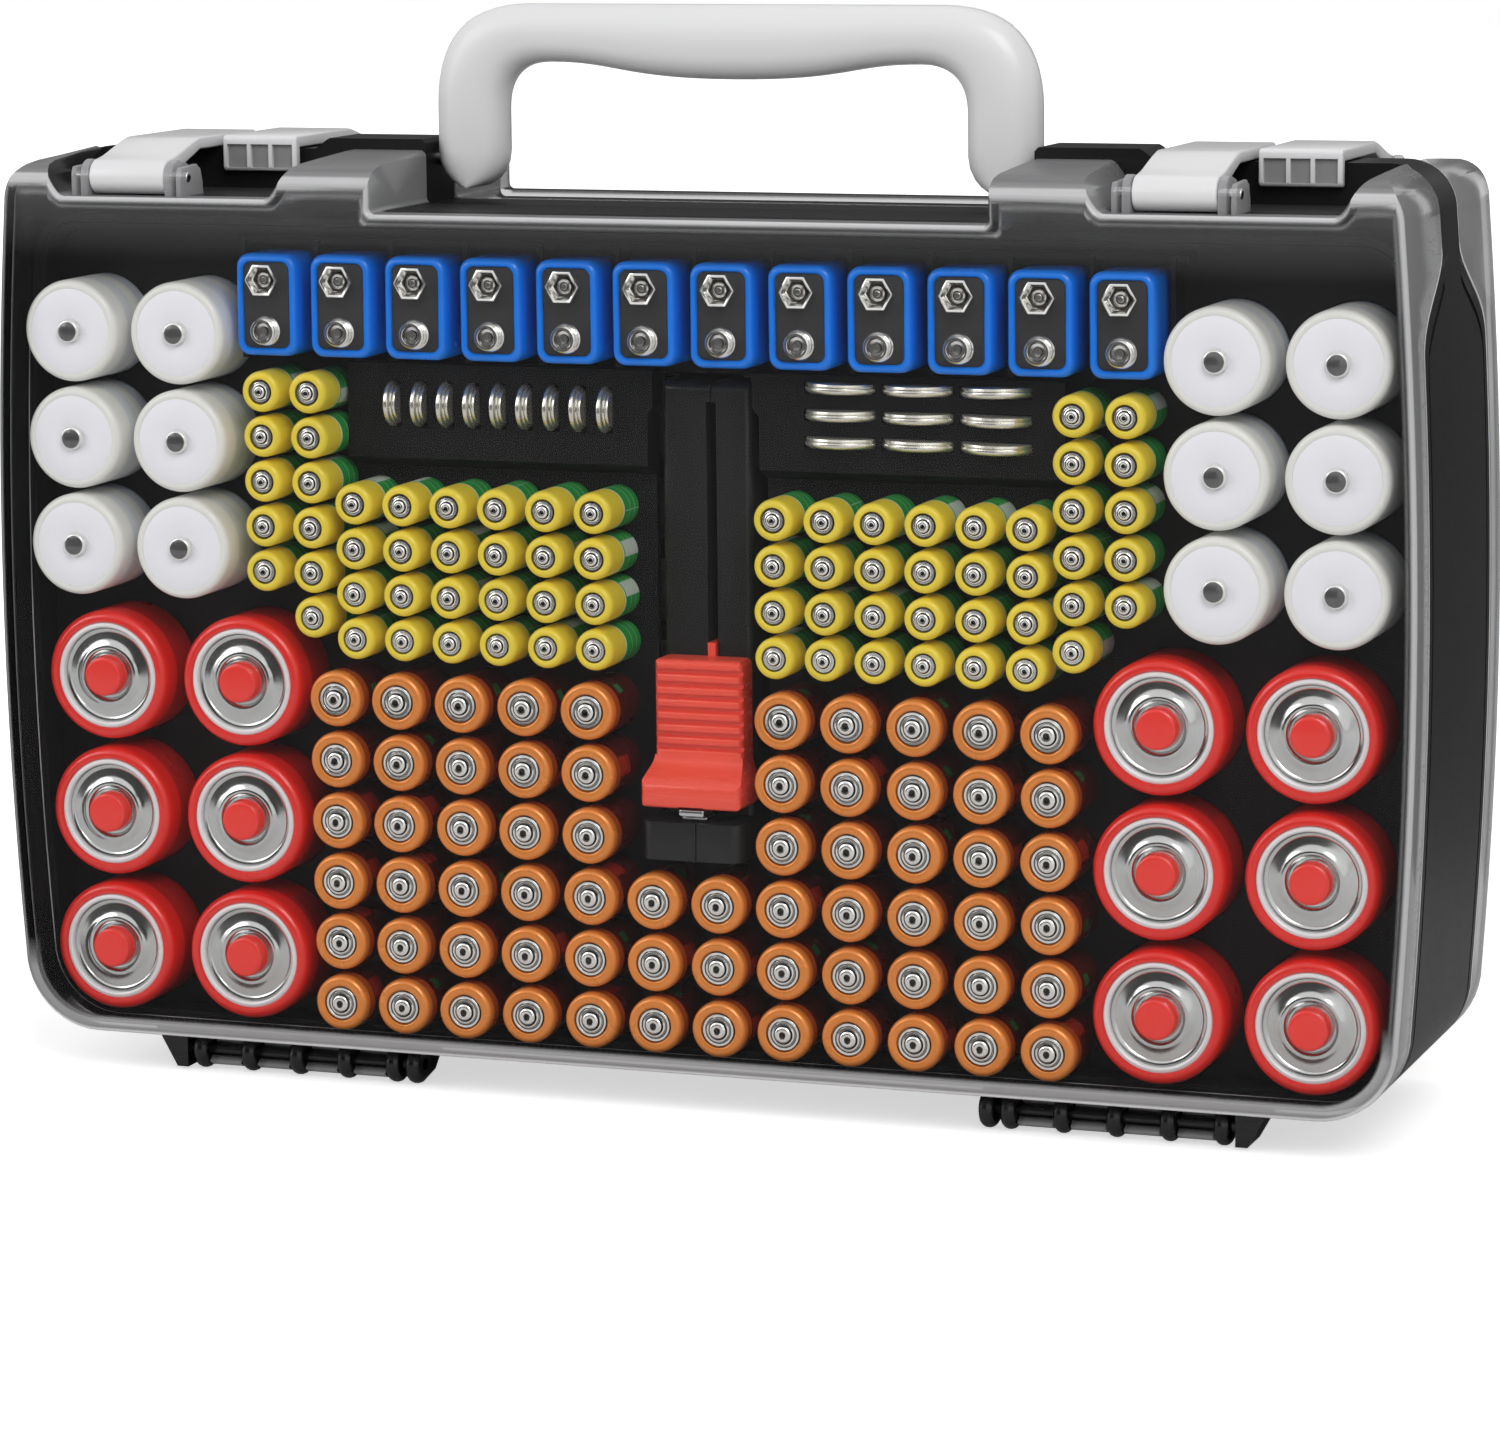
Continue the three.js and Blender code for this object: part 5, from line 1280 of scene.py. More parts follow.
def pocket_steps(cell):
    """Blocks behind the floor and bores for one size of large cell."""
    reach = cell["radius"] + CLEARANCE + TRAY_WALL
    back = cell["front"] + cell["length"] + CLEARANCE + TRAY_WALL
    low = cell["top"] - (LARGE_ROWS - 1) * cell["pitch"] - reach
    near, far = cell["columns"]
    adds = [box(*sorted((side * (near - reach), side * (far + reach))), FRONT_FLOOR_Y, back, low, cell["top"] + reach)
            for side in (-1, 1)]
    cuts = [rod_y(x, -FACE_Y, back - TRAY_WALL, z, cell["radius"] + CLEARANCE) for x, _, z in large_places(cell)]
    return adds, cuts


def block_wall(sizes, x=0):
    """A wall along the row of block cells."""
    return box(x - sizes["half"], x + sizes["half"], sizes["front"], FRONT_FLOOR_Y + 1,
               BLOCK_Z + sizes["low"], BLOCK_Z + sizes["high"])


def build_front_tray():
    rim = -FACE_Y + RIM_DEPTH + CLEARANCE
    outline = prism_y(box_outline(TRAY_INSET, TRAY_UPPER_INSET), -CASE_DEPTH, CASE_DEPTH)
    hollow = prism_y(box_outline(TRAY_INSET + TRAY_WALL, TRAY_UPPER_INSET + TRAY_WALL), -CASE_DEPTH, FRONT_FLOOR_Y)
    d_adds, d_cuts = pocket_steps(D_CELL)
    c_adds, c_cuts = pocket_steps(C_CELL)
    shelves = []
    for side in (-1, 1):
        x0, x1 = sorted((side * SHELF["inner"], side * SHELF["outer"]))
        slope = [(x0, SHELF["bottom"] - 1), (x1, SHELF["bottom"] - 1), (x1, SHELF["top"]), (x0, SHELF["top"])]
        top = [(x0, SHELF["bottom"] + 1.5), (x1, SHELF["bottom"] + 1.5), (x1, SHELF["top"]), (x0, SHELF["top"])]
        shelves.append(loft([[(x, SHELF["face"], z) for x, z in top], [(x, FRONT_FLOOR_Y - 1, z) for x, z in slope],
                             [(x, FRONT_FLOOR_Y + 1, z) for x, z in slope]]))
    wide, narrow = TESTER_WIDTH / 2 + WELL_MARGIN, TESTER_WIDTH / 2 + 1
    edge = [(-wide, TESTER_BOTTOM - 0.6), (wide, TESTER_BOTTOM - 0.6), (wide, WELL_STEP_Z - 2),
            (narrow, WELL_STEP_Z), (narrow, TESTER_TOP + 0.6), (-narrow, TESTER_TOP + 0.6),
            (-narrow, WELL_STEP_Z), (-wide, WELL_STEP_Z - 2)]
    well = prism_y([(TESTER_X + x, z) for x, z in edge], FRONT_FLOOR_Y - 8, TESTER_BACK)
    ribs = [block_wall(BLOCK_RIB, (i - BLOCK_COUNT / 2) * BLOCK_PITCH) for i in range(BLOCK_COUNT + 1)]
    half, radius = BUTTON["thick"] / 2 + 0.2, BUTTON["radius"] + 0.2
    button_slots = [rod_x(x - half, x + half, y, z, radius) for x, y, z in button_places()]
    disc = prism_z(arc(0, 0, COIN["radius"] + 0.2, 0, 360, ROUND_SIDES)[:-1],
                   -COIN["thick"] / 2 - 0.15, COIN["thick"] / 2 + 0.15)
    coin_slots = [moved(disc, *place) for place in coin_places()]
    steps = [("DIFFERENCE", hollow)]
    steps += [("UNION", shape) for shape in [*d_adds, *c_adds, *shelves]]
    steps += [("UNION", block_wall(BLOCK_LEDGE)), ("UNION", gathered(ribs)), ("INTERSECT", outline)]
    steps += [("DIFFERENCE", gathered(d_cuts)), ("DIFFERENCE", gathered(c_cuts)), ("DIFFERENCE", well),
              ("DIFFERENCE", gathered(button_slots))]
    steps += [("DIFFERENCE", gathered(coin_slots[i::3])) for i in range(3)]
    base = prism_y(box_outline(TRAY_INSET, TRAY_UPPER_INSET), rim, FRONT_FLOOR_Y + TRAY_FLOOR)
    mesh = carved("front_tray_pan", base, steps)
    finished("front_tray_pan", mesh, "black", "case", "black_plastic", ["front_tray"])


def button_places():
    return [(BUTTON["x"] + i * BUTTON["pitch"], BUTTON["y"], BUTTON["z"]) for i in range(BUTTON["count"])]


def coin_places():
    return [(COIN["x"] + column * COIN["pitch"], COIN["y"], COIN["z"] - row * COIN["drop"])
            for row in range(3) for column in range(3)]


def large_rack(kind, places, parts, sink, lean, seed):
    """The turned parts of one size of large cell; the first stands for the frame's cells."""
    nodes = [f"{kind}_cell_{i + 1}" for i in range(len(places))]
    for part, profile, sides, surface, slot in parts:
        rack(f"{kind}_cell_{part}", lathe(profile, sides), places, surface, slot, nodes,
             sink=sink, lean=lean, seed=seed)
        nodes = ()


def build_large_cells():
    r, n = D_CELL["radius"], D_CELL["length"]
    shell = [(0, n), (r - 0.8, n), (r, n - 0.8), (r, 2.6), (r - 0.12, 1.7), (r - 0.5, 0.9), (r - 1.1, 0.3),
             (r - 1.9, 0.02), (r - 2.7, 0.1), (r - 3.0, 0.5), (r - 3.0, 2.7), (0, 2.7)]
    ring = [(0, 2.6), (13.55, 2.6), (13.6, 0.75), (13.3, 0.42), (12.7, 0.3), (12.3, 0.55), (12.2, 1.0),
            (12.15, 2.4), (0, 2.4)]
    cap = [(0, 2.6), (12.1, 2.6), (12.1, 1.9), (11.8, 1.6), (11.3, 1.65), (10.9, 1.95), (9.4, 1.7), (8.2, 1.4),
           (7.8, 1.1), (7.2, 0.9), (6.7, 1.0), (6.3, 1.5), (5.9, 1.9), (5.45, 1.9), (5.3, 1.6), (5.25, 1.4), (0, 1.4)]
    nub = [(0, 2.2), (5.2, 2.2), (5.2, 1.0), (5.05, 0.2), (5.0, -1.5), (4.85, -2.1), (4.5, -2.35), (4.0, -2.4),
           (0, -2.4)]
    large_rack("d", large_places(D_CELL), (
        ("wraps", shell, 64, "d_wrap", "large_cell_red"), ("seals", ring, 64, "d_ring", "cell_white"),
        ("caps", cap, 64, "chrome", "steel"), ("nubs", nub, 48, "d_nub", "large_cell_red")), 0.3, 0.25, 1)
    r, n = C_CELL["radius"], C_CELL["length"]
    shell = [(0, n), (r - 0.8, n), (r, n - 0.8), (r, 1.8), (r - 0.15, 1.1), (r - 0.5, 0.5), (r - 1.0, 0.12),
             (r - 1.6, 0), (r - 2.1, 0.12), (r - 2.2, 0.5), (0, 0.5)]
    disc = [(0, 0.6), (10.75, 0.6), (10.75, 0.22), (10.6, 0.14), (3.5, 0.14), (3.15, 0.3), (2.9, 0.5), (0, 0.5)]
    nub = [(0, 1.0), (2.9, 1.0), (2.9, -0.9), (2.8, -1.25), (2.55, -1.42), (0, -1.45)]
    large_rack("c", large_places(C_CELL), (
        ("wraps", shell, 56, "c_wrap", "cell_white"), ("discs", disc, 56, "c_disc", "cell_white"),
        ("nubs", nub, 32, "c_nub", "steel")), 0.4, 0.3, 4)


def standing_cell(radius, ring_inner, front):
    """Wrap of a small standing cell, with a rounded shoulder and a sunk middle."""
    depth = FRONT_FLOOR_Y + 1 - front
    return [(0, depth), (radius, depth), (radius, 1.7), (radius - 0.12, 1.0), (radius - 0.4, 0.42),
            (radius - 0.9, 0.08), (radius - 1.3, 0), (ring_inner + 0.3, 0.02), (ring_inner, 0.2), (ring_inner, 1.2),
            (0, 1.2)]


def build_small_cells():
    middle = [(0, 1.3), (4.15, 1.3), (4.15, 0.45), (3.95, 0.28), (3.5, 0.3), (3.3, 0.5), (3.05, 0.5), (2.85, 0.1),
              (2.5, 0.0), (2.3, 0.2), (2.15, 0.2), (2.05, -0.4), (1.7, -0.66), (1.2, -0.72), (0.9, -0.62), (0, -0.62)]
    thin = [(0, 1.3), (2.95, 1.3), (2.95, 0.45), (2.8, 0.3), (2.5, 0.3), (2.35, 0.5), (2.15, 0.5), (2.0, 0.15),
            (1.8, 0.05), (1.65, 0.2), (1.5, -0.35), (1.2, -0.6), (0.8, -0.66), (0.6, -0.56), (0, -0.56)]
    for kind, shell, cap, places, sides, seed in (
            ("aa", standing_cell(AA_RADIUS, 4.5, AA_FRONT), middle, aa_places(), (36, 32), 7),
            ("aaa", standing_cell(AAA_RADIUS, 3.2, AAA_FRONT), thin, aaa_places(), (32, 28), 9)):
        rack(kind + "_cell_wraps", lathe(shell, sides[0]), places, kind + "_wrap", "large_cell_red",
             sink=0.5, lean=0.8, seed=seed)
        rack(kind + "_cell_caps", lathe(cap, sides[1]), places, kind + "_cap", "steel",
             sink=0.5, lean=0.8, seed=seed)


def rounded_rect(width, height, radius, steps=6):
    w, h = width / 2 - radius, height / 2 - radius
    points = []
    for x, z, start in ((w, -h, -90), (w, h, 0), (-w, h, 90), (-w, -h, 180)):
        points += arc(x, z, radius, start, start + 90, steps)
    return points


def build_block_cells():
    width, height = BLOCK_SIZE
    depth = FRONT_FLOOR_Y + 1 - BLOCK_FRONT
    profile = [(depth, 0), (2.4, 0), (1.1, 0.15), (0.4, 0.55), (0.05, 1.1), (0.12, 1.7), (0.5, 2.0), (1.2, 2.1)]
    rings = [[(x, y, z) for x, z in rounded_rect(width - inset * 2, height - inset * 2, BLOCK_CORNER - inset * 0.6)]
             for y, inset in profile]
    places = block_places()
    rack("block_cell_jackets", loft(rings), places, "jacket", "cell_white", sink=0.3, lean=0.5, seed=11,
         spin=False)
    board = [(1.6, 0), (0.75, 0), (0.6, 0.15)]
    rings = [[(x, y, z) for x, z in rounded_rect(width - 4.1 - inset * 2, height - 4.1 - inset * 2, 1.5)]
             for y, inset in board]
    rack("block_cell_boards", loft(rings), places, "lead", "black_plastic", sink=0.3, lean=0.5, seed=11,
         spin=False)
    rise = TERMINAL_SPACING / 2
    crown = ((3.5, 0.9), (3.5, -0.2), (4.0, -0.9), (4.4, -2.1), (4.35, -2.45), (4.05, -2.55), (3.7, -2.45),
             (3.2, -1.2), (2.7, -0.5), (2.5, -0.4))
    hexagon = [[(r * math.cos(math.radians(60 * k)), y, r * math.sin(math.radians(60 * k))) for k in range(6)]
               for r, y in crown]
    socket = lathe([(0, 0.5), (1.9, 0.5), (1.9, -0.7), (1.6, -1.0), (1.25, -0.95), (1.1, -0.7), (0.75, -0.7),
                    (0.65, -1.0), (0, -1.05)], 20)
    stud = lathe([(0, 1.0), (3.75, 1.0), (3.75, 0.1), (3.5, -0.2), (2.8, -0.3), (2.7, -0.9), (3.2, -1.6),
                  (3.25, -2.2), (2.95, -2.5), (2.4, -2.5), (2.15, -2.2), (2.1, -1.4), (1.3, -1.3), (1.1, -1.7),
                  (0.5, -1.75), (0, -1.75)], 28)
    for name, shape, surface, shift in (("crowns", gathered([loft(hexagon), socket]), "crown", rise),
                                        ("studs", stud, "stud", -rise)):
        rack("block_cell_" + name, shape, [(x, y, z + shift) for x, y, z in places], surface, "steel",
             sink=0.3, lean=0.5, seed=11, spin=False, sharp=35)


def button_profile(radius, thick):
    """Can of a button cell with its stepped rims, turned about its own axis."""
    h, r = thick / 2, radius
    return [(0, -h), (r - 1.6, -h), (r - 1.5, -h + 0.1), (r - 1.45, -h + 0.5), (r - 0.85, -h + 0.6),
            (r - 0.8, -h + 1.0), (r - 0.9, -h + 1.1), (r - 0.2, -h + 1.25), (r, -h + 1.45), (r, h - 0.3),
            (r - 0.1, h - 0.1), (r - 0.35, h), (0, h)]


def coin_profile(radius, thick):
    """Rounded can of a coin cell with its gasket line, turned about its own axis."""
    h, r = thick / 2, radius
    return [(0, -h), (r - 1.6, -h), (r - 0.9, -h + 0.08), (r - 0.35, -h + 0.35), (r - 0.05, -h + 0.8),
            (r, -h + 1.2), (r - 0.1, -h + 1.55), (r - 0.45, -h + 1.65), (r - 0.45, -h + 1.9), (r - 0.2, -h + 2.0),
            (r - 0.3, h - 0.2), (r - 0.6, h), (0, h)]


def build_coin_cells():
    points, faces = lathe(button_profile(BUTTON["radius"], BUTTON["thick"]), 44)
    button = ([(-y, x, z) for x, y, z in points], faces)
    points, faces = lathe(coin_profile(COIN["radius"], COIN["thick"]), 44)
    coin = ([(x, z, y) for x, y, z in points], faces)
    for name, shape, places, seed, axis in (("button_cells", button, button_places(), 13, 0),
                                            ("coin_cells", coin, coin_places(), 14, 1)):
        rack(name, shape, places, "warm_steel", "steel", lean=1.2, seed=seed, along_axis=axis, spin=False)


def lying_shapes(length, radius):
    """Wrap and steel ends of a cell along X, its button end toward +X."""
    edge = min(0.9, radius * 0.12)
    body = [(0, 0), (radius - edge * 2, 0), (radius - edge * 0.5, edge * 0.3), (radius, edge),
            (radius, length - edge), (radius - edge, length), (0, length)]
    ends = [(0, -1.0), (radius * 0.32, -1.0), (radius * 0.34, -0.8), (radius * 0.34, -0.1), (radius * 0.72, 0.05),
            (radius * 0.72, length - 0.1), (radius * 0.7, length + 0.06), (0, length + 0.06)]
    shapes = lathe(body, 32), lathe(ends, 24)
    return [([(length / 2 - y, x, z) for x, y, z in points], faces) for points, faces in shapes]


def lying_groups():
    """Places of the lying cells by kind and size, in the row frame."""
    groups = {}

    def put(kind, length, radius, x, z):
        y = FACE_Y - BACK_FACE - radius
        groups.setdefault((kind, length, radius), []).append((-x, y, z))

    for kind, x, z, pitch, count, length, radius in LYING:
        for side in ((1,) if x == 0 else (-1, 1)):
            for i in range(count):
                put(kind, length, radius, side * x, z - i * pitch)
    for kind, z, pitch, count, length, radius in END_ROWS:
        for i in range(count):
            put(kind, length, radius, (i - (count - 1) / 2) * pitch, z)
    return groups


def build_back_tray():
    floor = -FACE_Y + BACK_TRAY_RECESS
    outer = prism_y(box_outline(TRAY_INSET, TRAY_UPPER_INSET), floor, floor + BACK_TRAY_DEPTH)
    inner = prism_y(box_outline(TRAY_INSET + TRAY_WALL, TRAY_UPPER_INSET + TRAY_WALL), floor + TRAY_FLOOR, 0)
    mesh = carved("back_tray_pan", outer, [("DIFFERENCE", inner)])
    finished("back_tray_pan", mesh, "black", "case", "black_plastic", ["back_tray"], turn=True)
    for index, ((kind, length, radius), places) in enumerate(lying_groups().items()):
        body, ends = lying_shapes(length, radius)
        for part, shape, surface, slot in (("wraps", body, "lying_" + kind, "cell_white"),
                                           ("ends", ends, "steel", "steel")):
            rack(f"lying_{kind}_{index}_{part}", shape, places, surface, slot, seed=20 + index,
                 along_axis=0, lean=0.3, spin=False)


def shell_half(side):
    """One half of the tester's housing with its half of the foot."""
    split = SLOT_X + side * CLEARANCE / 2
    outer = TESTER_X + side * TESTER_WIDTH / 2
    foot_outer = TESTER_X + side * FOOT_WIDTH / 2

    def corner(x, y, radius):
        """Points of a rounded front corner, from its side to its front."""
        return [(x - side * radius * (1 - math.cos(a)), y + radius * (1 - math.sin(a)))
                for a in (math.radians(15 * i) for i in range(7))]

    body = prism_z([(split, TESTER_BACK), (outer, TESTER_BACK), *corner(outer, TESTER_FRONT, 2),
                    (split, TESTER_FRONT)], TESTER_BOTTOM, TESTER_TOP)
    foot = prism_z([(split, TESTER_FRONT + 2), (outer, TESTER_FRONT + 2), (foot_outer, TESTER_FRONT),
                    *corner(foot_outer, FOOT_FRONT, 3), (split, FOOT_FRONT)], TESTER_BOTTOM, FOOT_TOP)
    slot = box(SLOT_X - SLOT_WIDTH / 2, SLOT_X + SLOT_WIDTH / 2, TESTER_FRONT - SLOT_DEPTH,
               TESTER_FRONT + SLOT_DEPTH, FOOT_TOP, SLOT_TOP)
    channel = box(SLOT_X - CHANNEL_HALF, SLOT_X + CHANNEL_HALF, TESTER_FRONT + SLOT_DEPTH,
                  TESTER_FRONT + SLOT_DEPTH + CHANNEL_DEPTH, FOOT_TOP, SLOT_TOP)
    top = TESTER_TOP - 1
    nose = prism_x([(TESTER_FRONT - 1, TESTER_TOP + 1), (TESTER_FRONT - 1, top - TESTER_ROUND),
                    *arc(TESTER_FRONT + TESTER_ROUND, top - TESTER_ROUND, TESTER_ROUND, 180, 90, 8),
                    (TESTER_BACK + 1, top), (TESTER_BACK + 1, TESTER_TOP + 1)], -60, 60)
    return carved("tester_half", body, [("UNION", foot), *(("DIFFERENCE", cut) for cut in (slot, channel, nose))])


def build_tester():
    for side, end in ((-1, "left"), (1, "right")):
        finished(f"tester_half_{end}", shell_half(side), "black_gloss", "case", "black_plastic",
                 [f"tester_shell_{end}"], bevel=TESTER_EDGE)
    back = TESTER_FRONT - CLEARANCE
    pitch = (SLIDER_TOP - SLIDER_LIP_TOP) / (SLIDER_RIBS + 1)
    ribs = []
    for i in range(SLIDER_RIBS):
        z = SLIDER_LIP_TOP + pitch * (i + 1)
        ribs += [(NECK_Y + depth, z + pitch * up) for depth, up in
                 ((0, -0.4), (0.25, -0.25), (1.5, -0.15), (1.5, 0.15), (0.25, 0.25), (0, 0.4))]
    neck = prism_x([(back, SLIDER_BOTTOM), (NECK_Y, SLIDER_BOTTOM), *ribs, (NECK_Y, SLIDER_TOP - 2),
                    *arc(NECK_Y + 2, SLIDER_TOP - 2, 2, 180, 90, 6), (back, SLIDER_TOP)],
                   TESTER_X - NECK_WIDTH / 2, TESTER_X + NECK_WIDTH / 2)
    swoop = [(lerp(LIP_Y, NECK_Y + 0.4, smooth(t)), lerp(SLIDER_BOTTOM + 4.5, SLIDER_LIP_TOP + 1, t))
             for t in (0.1, 0.2, 0.3, 0.4, 0.5, 0.6, 0.7, 0.8, 0.9, 1)]
    lip = prism_x([(back, SLIDER_BOTTOM), (LIP_Y + 1.2, SLIDER_BOTTOM), (LIP_Y + 0.4, SLIDER_BOTTOM + 0.4),
                   (LIP_Y, SLIDER_BOTTOM + 1.2), (LIP_Y, SLIDER_BOTTOM + 4.3), *swoop, (back, SLIDER_LIP_TOP + 1)],
                  TESTER_X - SLIDER_WIDTH / 2, TESTER_X + SLIDER_WIDTH / 2)
    wide, narrow = SLIDER_WIDTH / 2, NECK_WIDTH / 2
    right = [*arc(wide - 2, SLIDER_BOTTOM + 2, 2, -90, 0, 6)]
    right += [(lerp(wide, narrow, smooth(t)), lerp(SLIDER_BOTTOM + 4.8, SLIDER_BOTTOM + 12.2, t))
              for t in (0, 0.12, 0.25, 0.38, 0.5, 0.62, 0.75, 0.88, 1)]
    right += arc(narrow - 1.6, SLIDER_TOP - 1.6, 1.6, 0, 90, 6)
    face = [(TESTER_X + x, z) for x, z in right + mirrored(right)]
    parts = []
    for name, shape, half, front, r, start in (("neck", neck, narrow, NECK_Y, 1.8, [(-narrow, NECK_Y + 1.8)]),
                                               ("lip", lip, wide, LIP_Y, 2.2, [])):
        sides = [(-half, back + 1), *start, *arc(-half + r, front + r, r, 180, 270, 6),
                 *arc(half - r, front + r, r, 270, 360, 6), (half, back + 1)]
        plan = prism_z([(TESTER_X + x, y) for x, y in sides], 0, BODY_HEIGHT)
        parts.append(carved(name, shape, [("INTERSECT", plan)]))
    stem = box(SLOT_X - 1, SLOT_X + 1, back - 1, TESTER_FRONT + 11.7, SLIDER_TOP - 15.4, SLIDER_TOP + 3.4)
    notch = box(TESTER_X - 3.4, TESTER_X + 3.4, LIP_Y - 1, LIP_Y + 8, SLIDER_BOTTOM - 1, SLIDER_BOTTOM + 0.5)
    neck, lip = (shape_of(part) for part in parts)
    mesh = carved("tester_slide", neck, [("UNION", lip), ("INTERSECT", prism_y(face, -60, 60)),
                                         ("DIFFERENCE", notch), ("UNION", stem)])
    for spare in parts:
        bpy.data.meshes.remove(spare)
    finished("tester_slide_grip", mesh, "red", "tester_slider", "red_plastic", ["tester_slider"], 40)
    for name, y, low, high, body, node in (
            ("tester_slide_tab", LIP_Y + 1, SLIDER_BOTTOM - 1.9, SLIDER_BOTTOM - 0.3, "tester_slider",
             "tester_slider_contact"),
            ("tester_foot_tab", FOOT_FRONT + 3, FOOT_TOP + 0.3, FOOT_TOP + 1.3, "case", "tester_base_contact")):
        tab = marked(mesh_from(name, box(TESTER_X - TAB_HALF, TESTER_X + TAB_HALF, y, y + TAB_DEPTH, low, high)), 1)
        finished(name, tab, "steel", body, "steel", [node], bevel=METAL_EDGE)


# ---------- stage ----------

def build_stage(settings):
    scene = bpy.context.scene
    scene.view_settings.view_transform = "Standard"
    camera = bpy.data.cameras.new("camera")
    for name, value in (("lens", settings.lens), ("sensor_width", 36), ("shift_x", -0.0011), ("shift_y", -0.0006),
                        ("clip_start", 0.05), ("clip_end", 50)):
        setattr(camera, name, value)
    eye = bpy.data.objects.new("camera", camera)
    eye.location = Vector(settings.camera_place) * MM
    eye.rotation_euler = Euler([math.radians(a) for a in settings.camera_turn], "XYZ")
    scene.collection.objects.link(eye)
    scene.camera = eye
    world = bpy.data.worlds.new("studio")
    scene.world = world
    world.use_nodes = True
    wires = Wires(world.node_tree)
    rays = wires.node("ShaderNodeLightPath").outputs
    seen = wires.larger(rays["Is Camera Ray"], wires.larger(rays["Is Glossy Ray"], rays["Is Transmission Ray"]))
    level = wires.plus(wires.times(seen, 1 - settings.world_level), settings.world_level)
    wires.drive(world.node_tree.nodes["Background"], Strength=level, Color=(1, 1, 1))
    floor = object_from("floor", mesh_from("floor", (
        [(x * FLOOR_HALF, y * FLOOR_HALF, FLOOR_Z) for x, y in ((-1, -1), (1, -1), (1, 1), (-1, 1))],
        [(0, 1, 2, 3)])))
    pale, shader, wires = principled("pale_floor", (0.8, 0.8, 0.8), 0.9)
    away = wires.node("ShaderNodeVectorMath", operation="LENGTH")
    wires.feed(away.inputs[0], wires.node("ShaderNodeTexCoord").outputs["Object"])
    fade = wires.ramp(away.outputs["Value"], 0.25, 0.75, 0.62, 1.0)
    seen = wires.node("ShaderNodeLightPath").outputs["Is Camera Ray"]
    wires.drive(shader, Specular_IOR_Level=0, Emission_Color=(1, 1, 1), Emission_Strength=wires.times(seen, fade))
    floor.data.materials.append(pale)
    for name, place, target, size, power in (
            ("key_light", (0.75, -1.1, 1.25), (0, 0, 0.12), (0.9, 0.9), settings.key_power),
            ("fill_light", (-1.2, -0.9, 0.7), (0, 0, 0.12), (0.8, 1.0), settings.fill_power),
            ("top_light", (0.1, 0.25, 1.5), (0, 0, 0.15), (1.2, 0.8), settings.top_power)):
        lamp = bpy.data.lights.new(name, "AREA")
        lamp.shape = "RECTANGLE"
        lamp.size, lamp.size_y = size
        lamp.energy = power
        obj = bpy.data.objects.new(name, lamp)
        obj.location = place
        obj.rotation_euler = (Vector(target) - Vector(place)).to_track_quat("-Z", "Y").to_euler()
        scene.collection.objects.link(obj)
    paper = moulded("card_black", (0.045, 0.045, 0.045), 0.8)
    for name, (x0, y0, x1, y1, low, high) in CARDS.items():
        card = object_from(name, mesh_from(name, (
            [(x0, y0, low), (x1, y1, low), (x1, y1, high), (x0, y0, high)], [(0, 1, 2, 3)])))
        card.data.materials.append(paper)
        card.visible_camera = card.visible_diffuse = card.visible_shadow = card.visible_transmission = False


# ---------- add-on ----------

class ORGANIZER_StageSettings(bpy.types.PropertyGroup):
    """Camera and light of the studio"""
    lens: bpy.props.FloatProperty(name="Lens", description="Focal length", default=129.6, unit="CAMERA")
    camera_place: bpy.props.FloatVectorProperty(
        name="Camera place", description="Camera position in millimetres", default=(460.4, -1260.3, 321.4))
    camera_turn: bpy.props.FloatVectorProperty(
        name="Camera turn", description="Camera rotation in degrees", default=(80.308, 0.565, 19.868))
    world_level: bpy.props.FloatProperty(name="World level", description="Light of the surroundings", default=0.46)
    key_power: bpy.props.FloatProperty(name="Key", description="Power of the key light", default=12.5, unit="POWER")
    fill_power: bpy.props.FloatProperty(name="Fill", description="Power of the fill light", default=6, unit="POWER")
    top_power: bpy.props.FloatProperty(name="Top", description="Power of the top light", default=1.8, unit="POWER")


class PieceOperator:
    """Shared part of the operators: runs one builder."""
    bl_options = {"REGISTER"}
    builder = None

    def execute(self, context):
        type(self).builder()
        return {"FINISHED"}


class ORGANIZER_OT_stage(bpy.types.Operator):
    """Builds camera, floor, backdrop and lights"""
    bl_idname = "organizer.stage"
    bl_label = "Stage"

    def execute(self, context):
        build_stage(context.scene.organizer_stage)
        return {"FINISHED"}


class ORGANIZER_OT_frame(PieceOperator, bpy.types.Operator):
    """Builds the black middle frame with its hinge discs"""
    bl_idname = "organizer.frame"
    bl_label = "Middle frame"
    builder = staticmethod(build_frame)


class ORGANIZER_OT_covers(PieceOperator, bpy.types.Operator):
    """Builds the two clear covers"""
    bl_idname = "organizer.covers"
    bl_label = "Covers"
    builder = staticmethod(build_covers)


class ORGANIZER_OT_latches(PieceOperator, bpy.types.Operator):
    """Builds the latches and their pins"""
    bl_idname = "organizer.latches"
    bl_label = "Latches"
    builder = staticmethod(build_latches)


class ORGANIZER_OT_handle(PieceOperator, bpy.types.Operator):
    """Builds the handle and its pins"""
    bl_idname = "organizer.handle"
    bl_label = "Handle"
    builder = staticmethod(build_handle)


class ORGANIZER_OT_hinge_pins(PieceOperator, bpy.types.Operator):
    """Builds the rods of the four hinges"""
    bl_idname = "organizer.hinge_pins"
    bl_label = "Hinge pins"
    builder = staticmethod(build_hinge_pins)


class ORGANIZER_OT_front_tray(PieceOperator, bpy.types.Operator):
    """Builds the front tray"""
    bl_idname = "organizer.front_tray"
    bl_label = "Front tray"
    builder = staticmethod(build_front_tray)


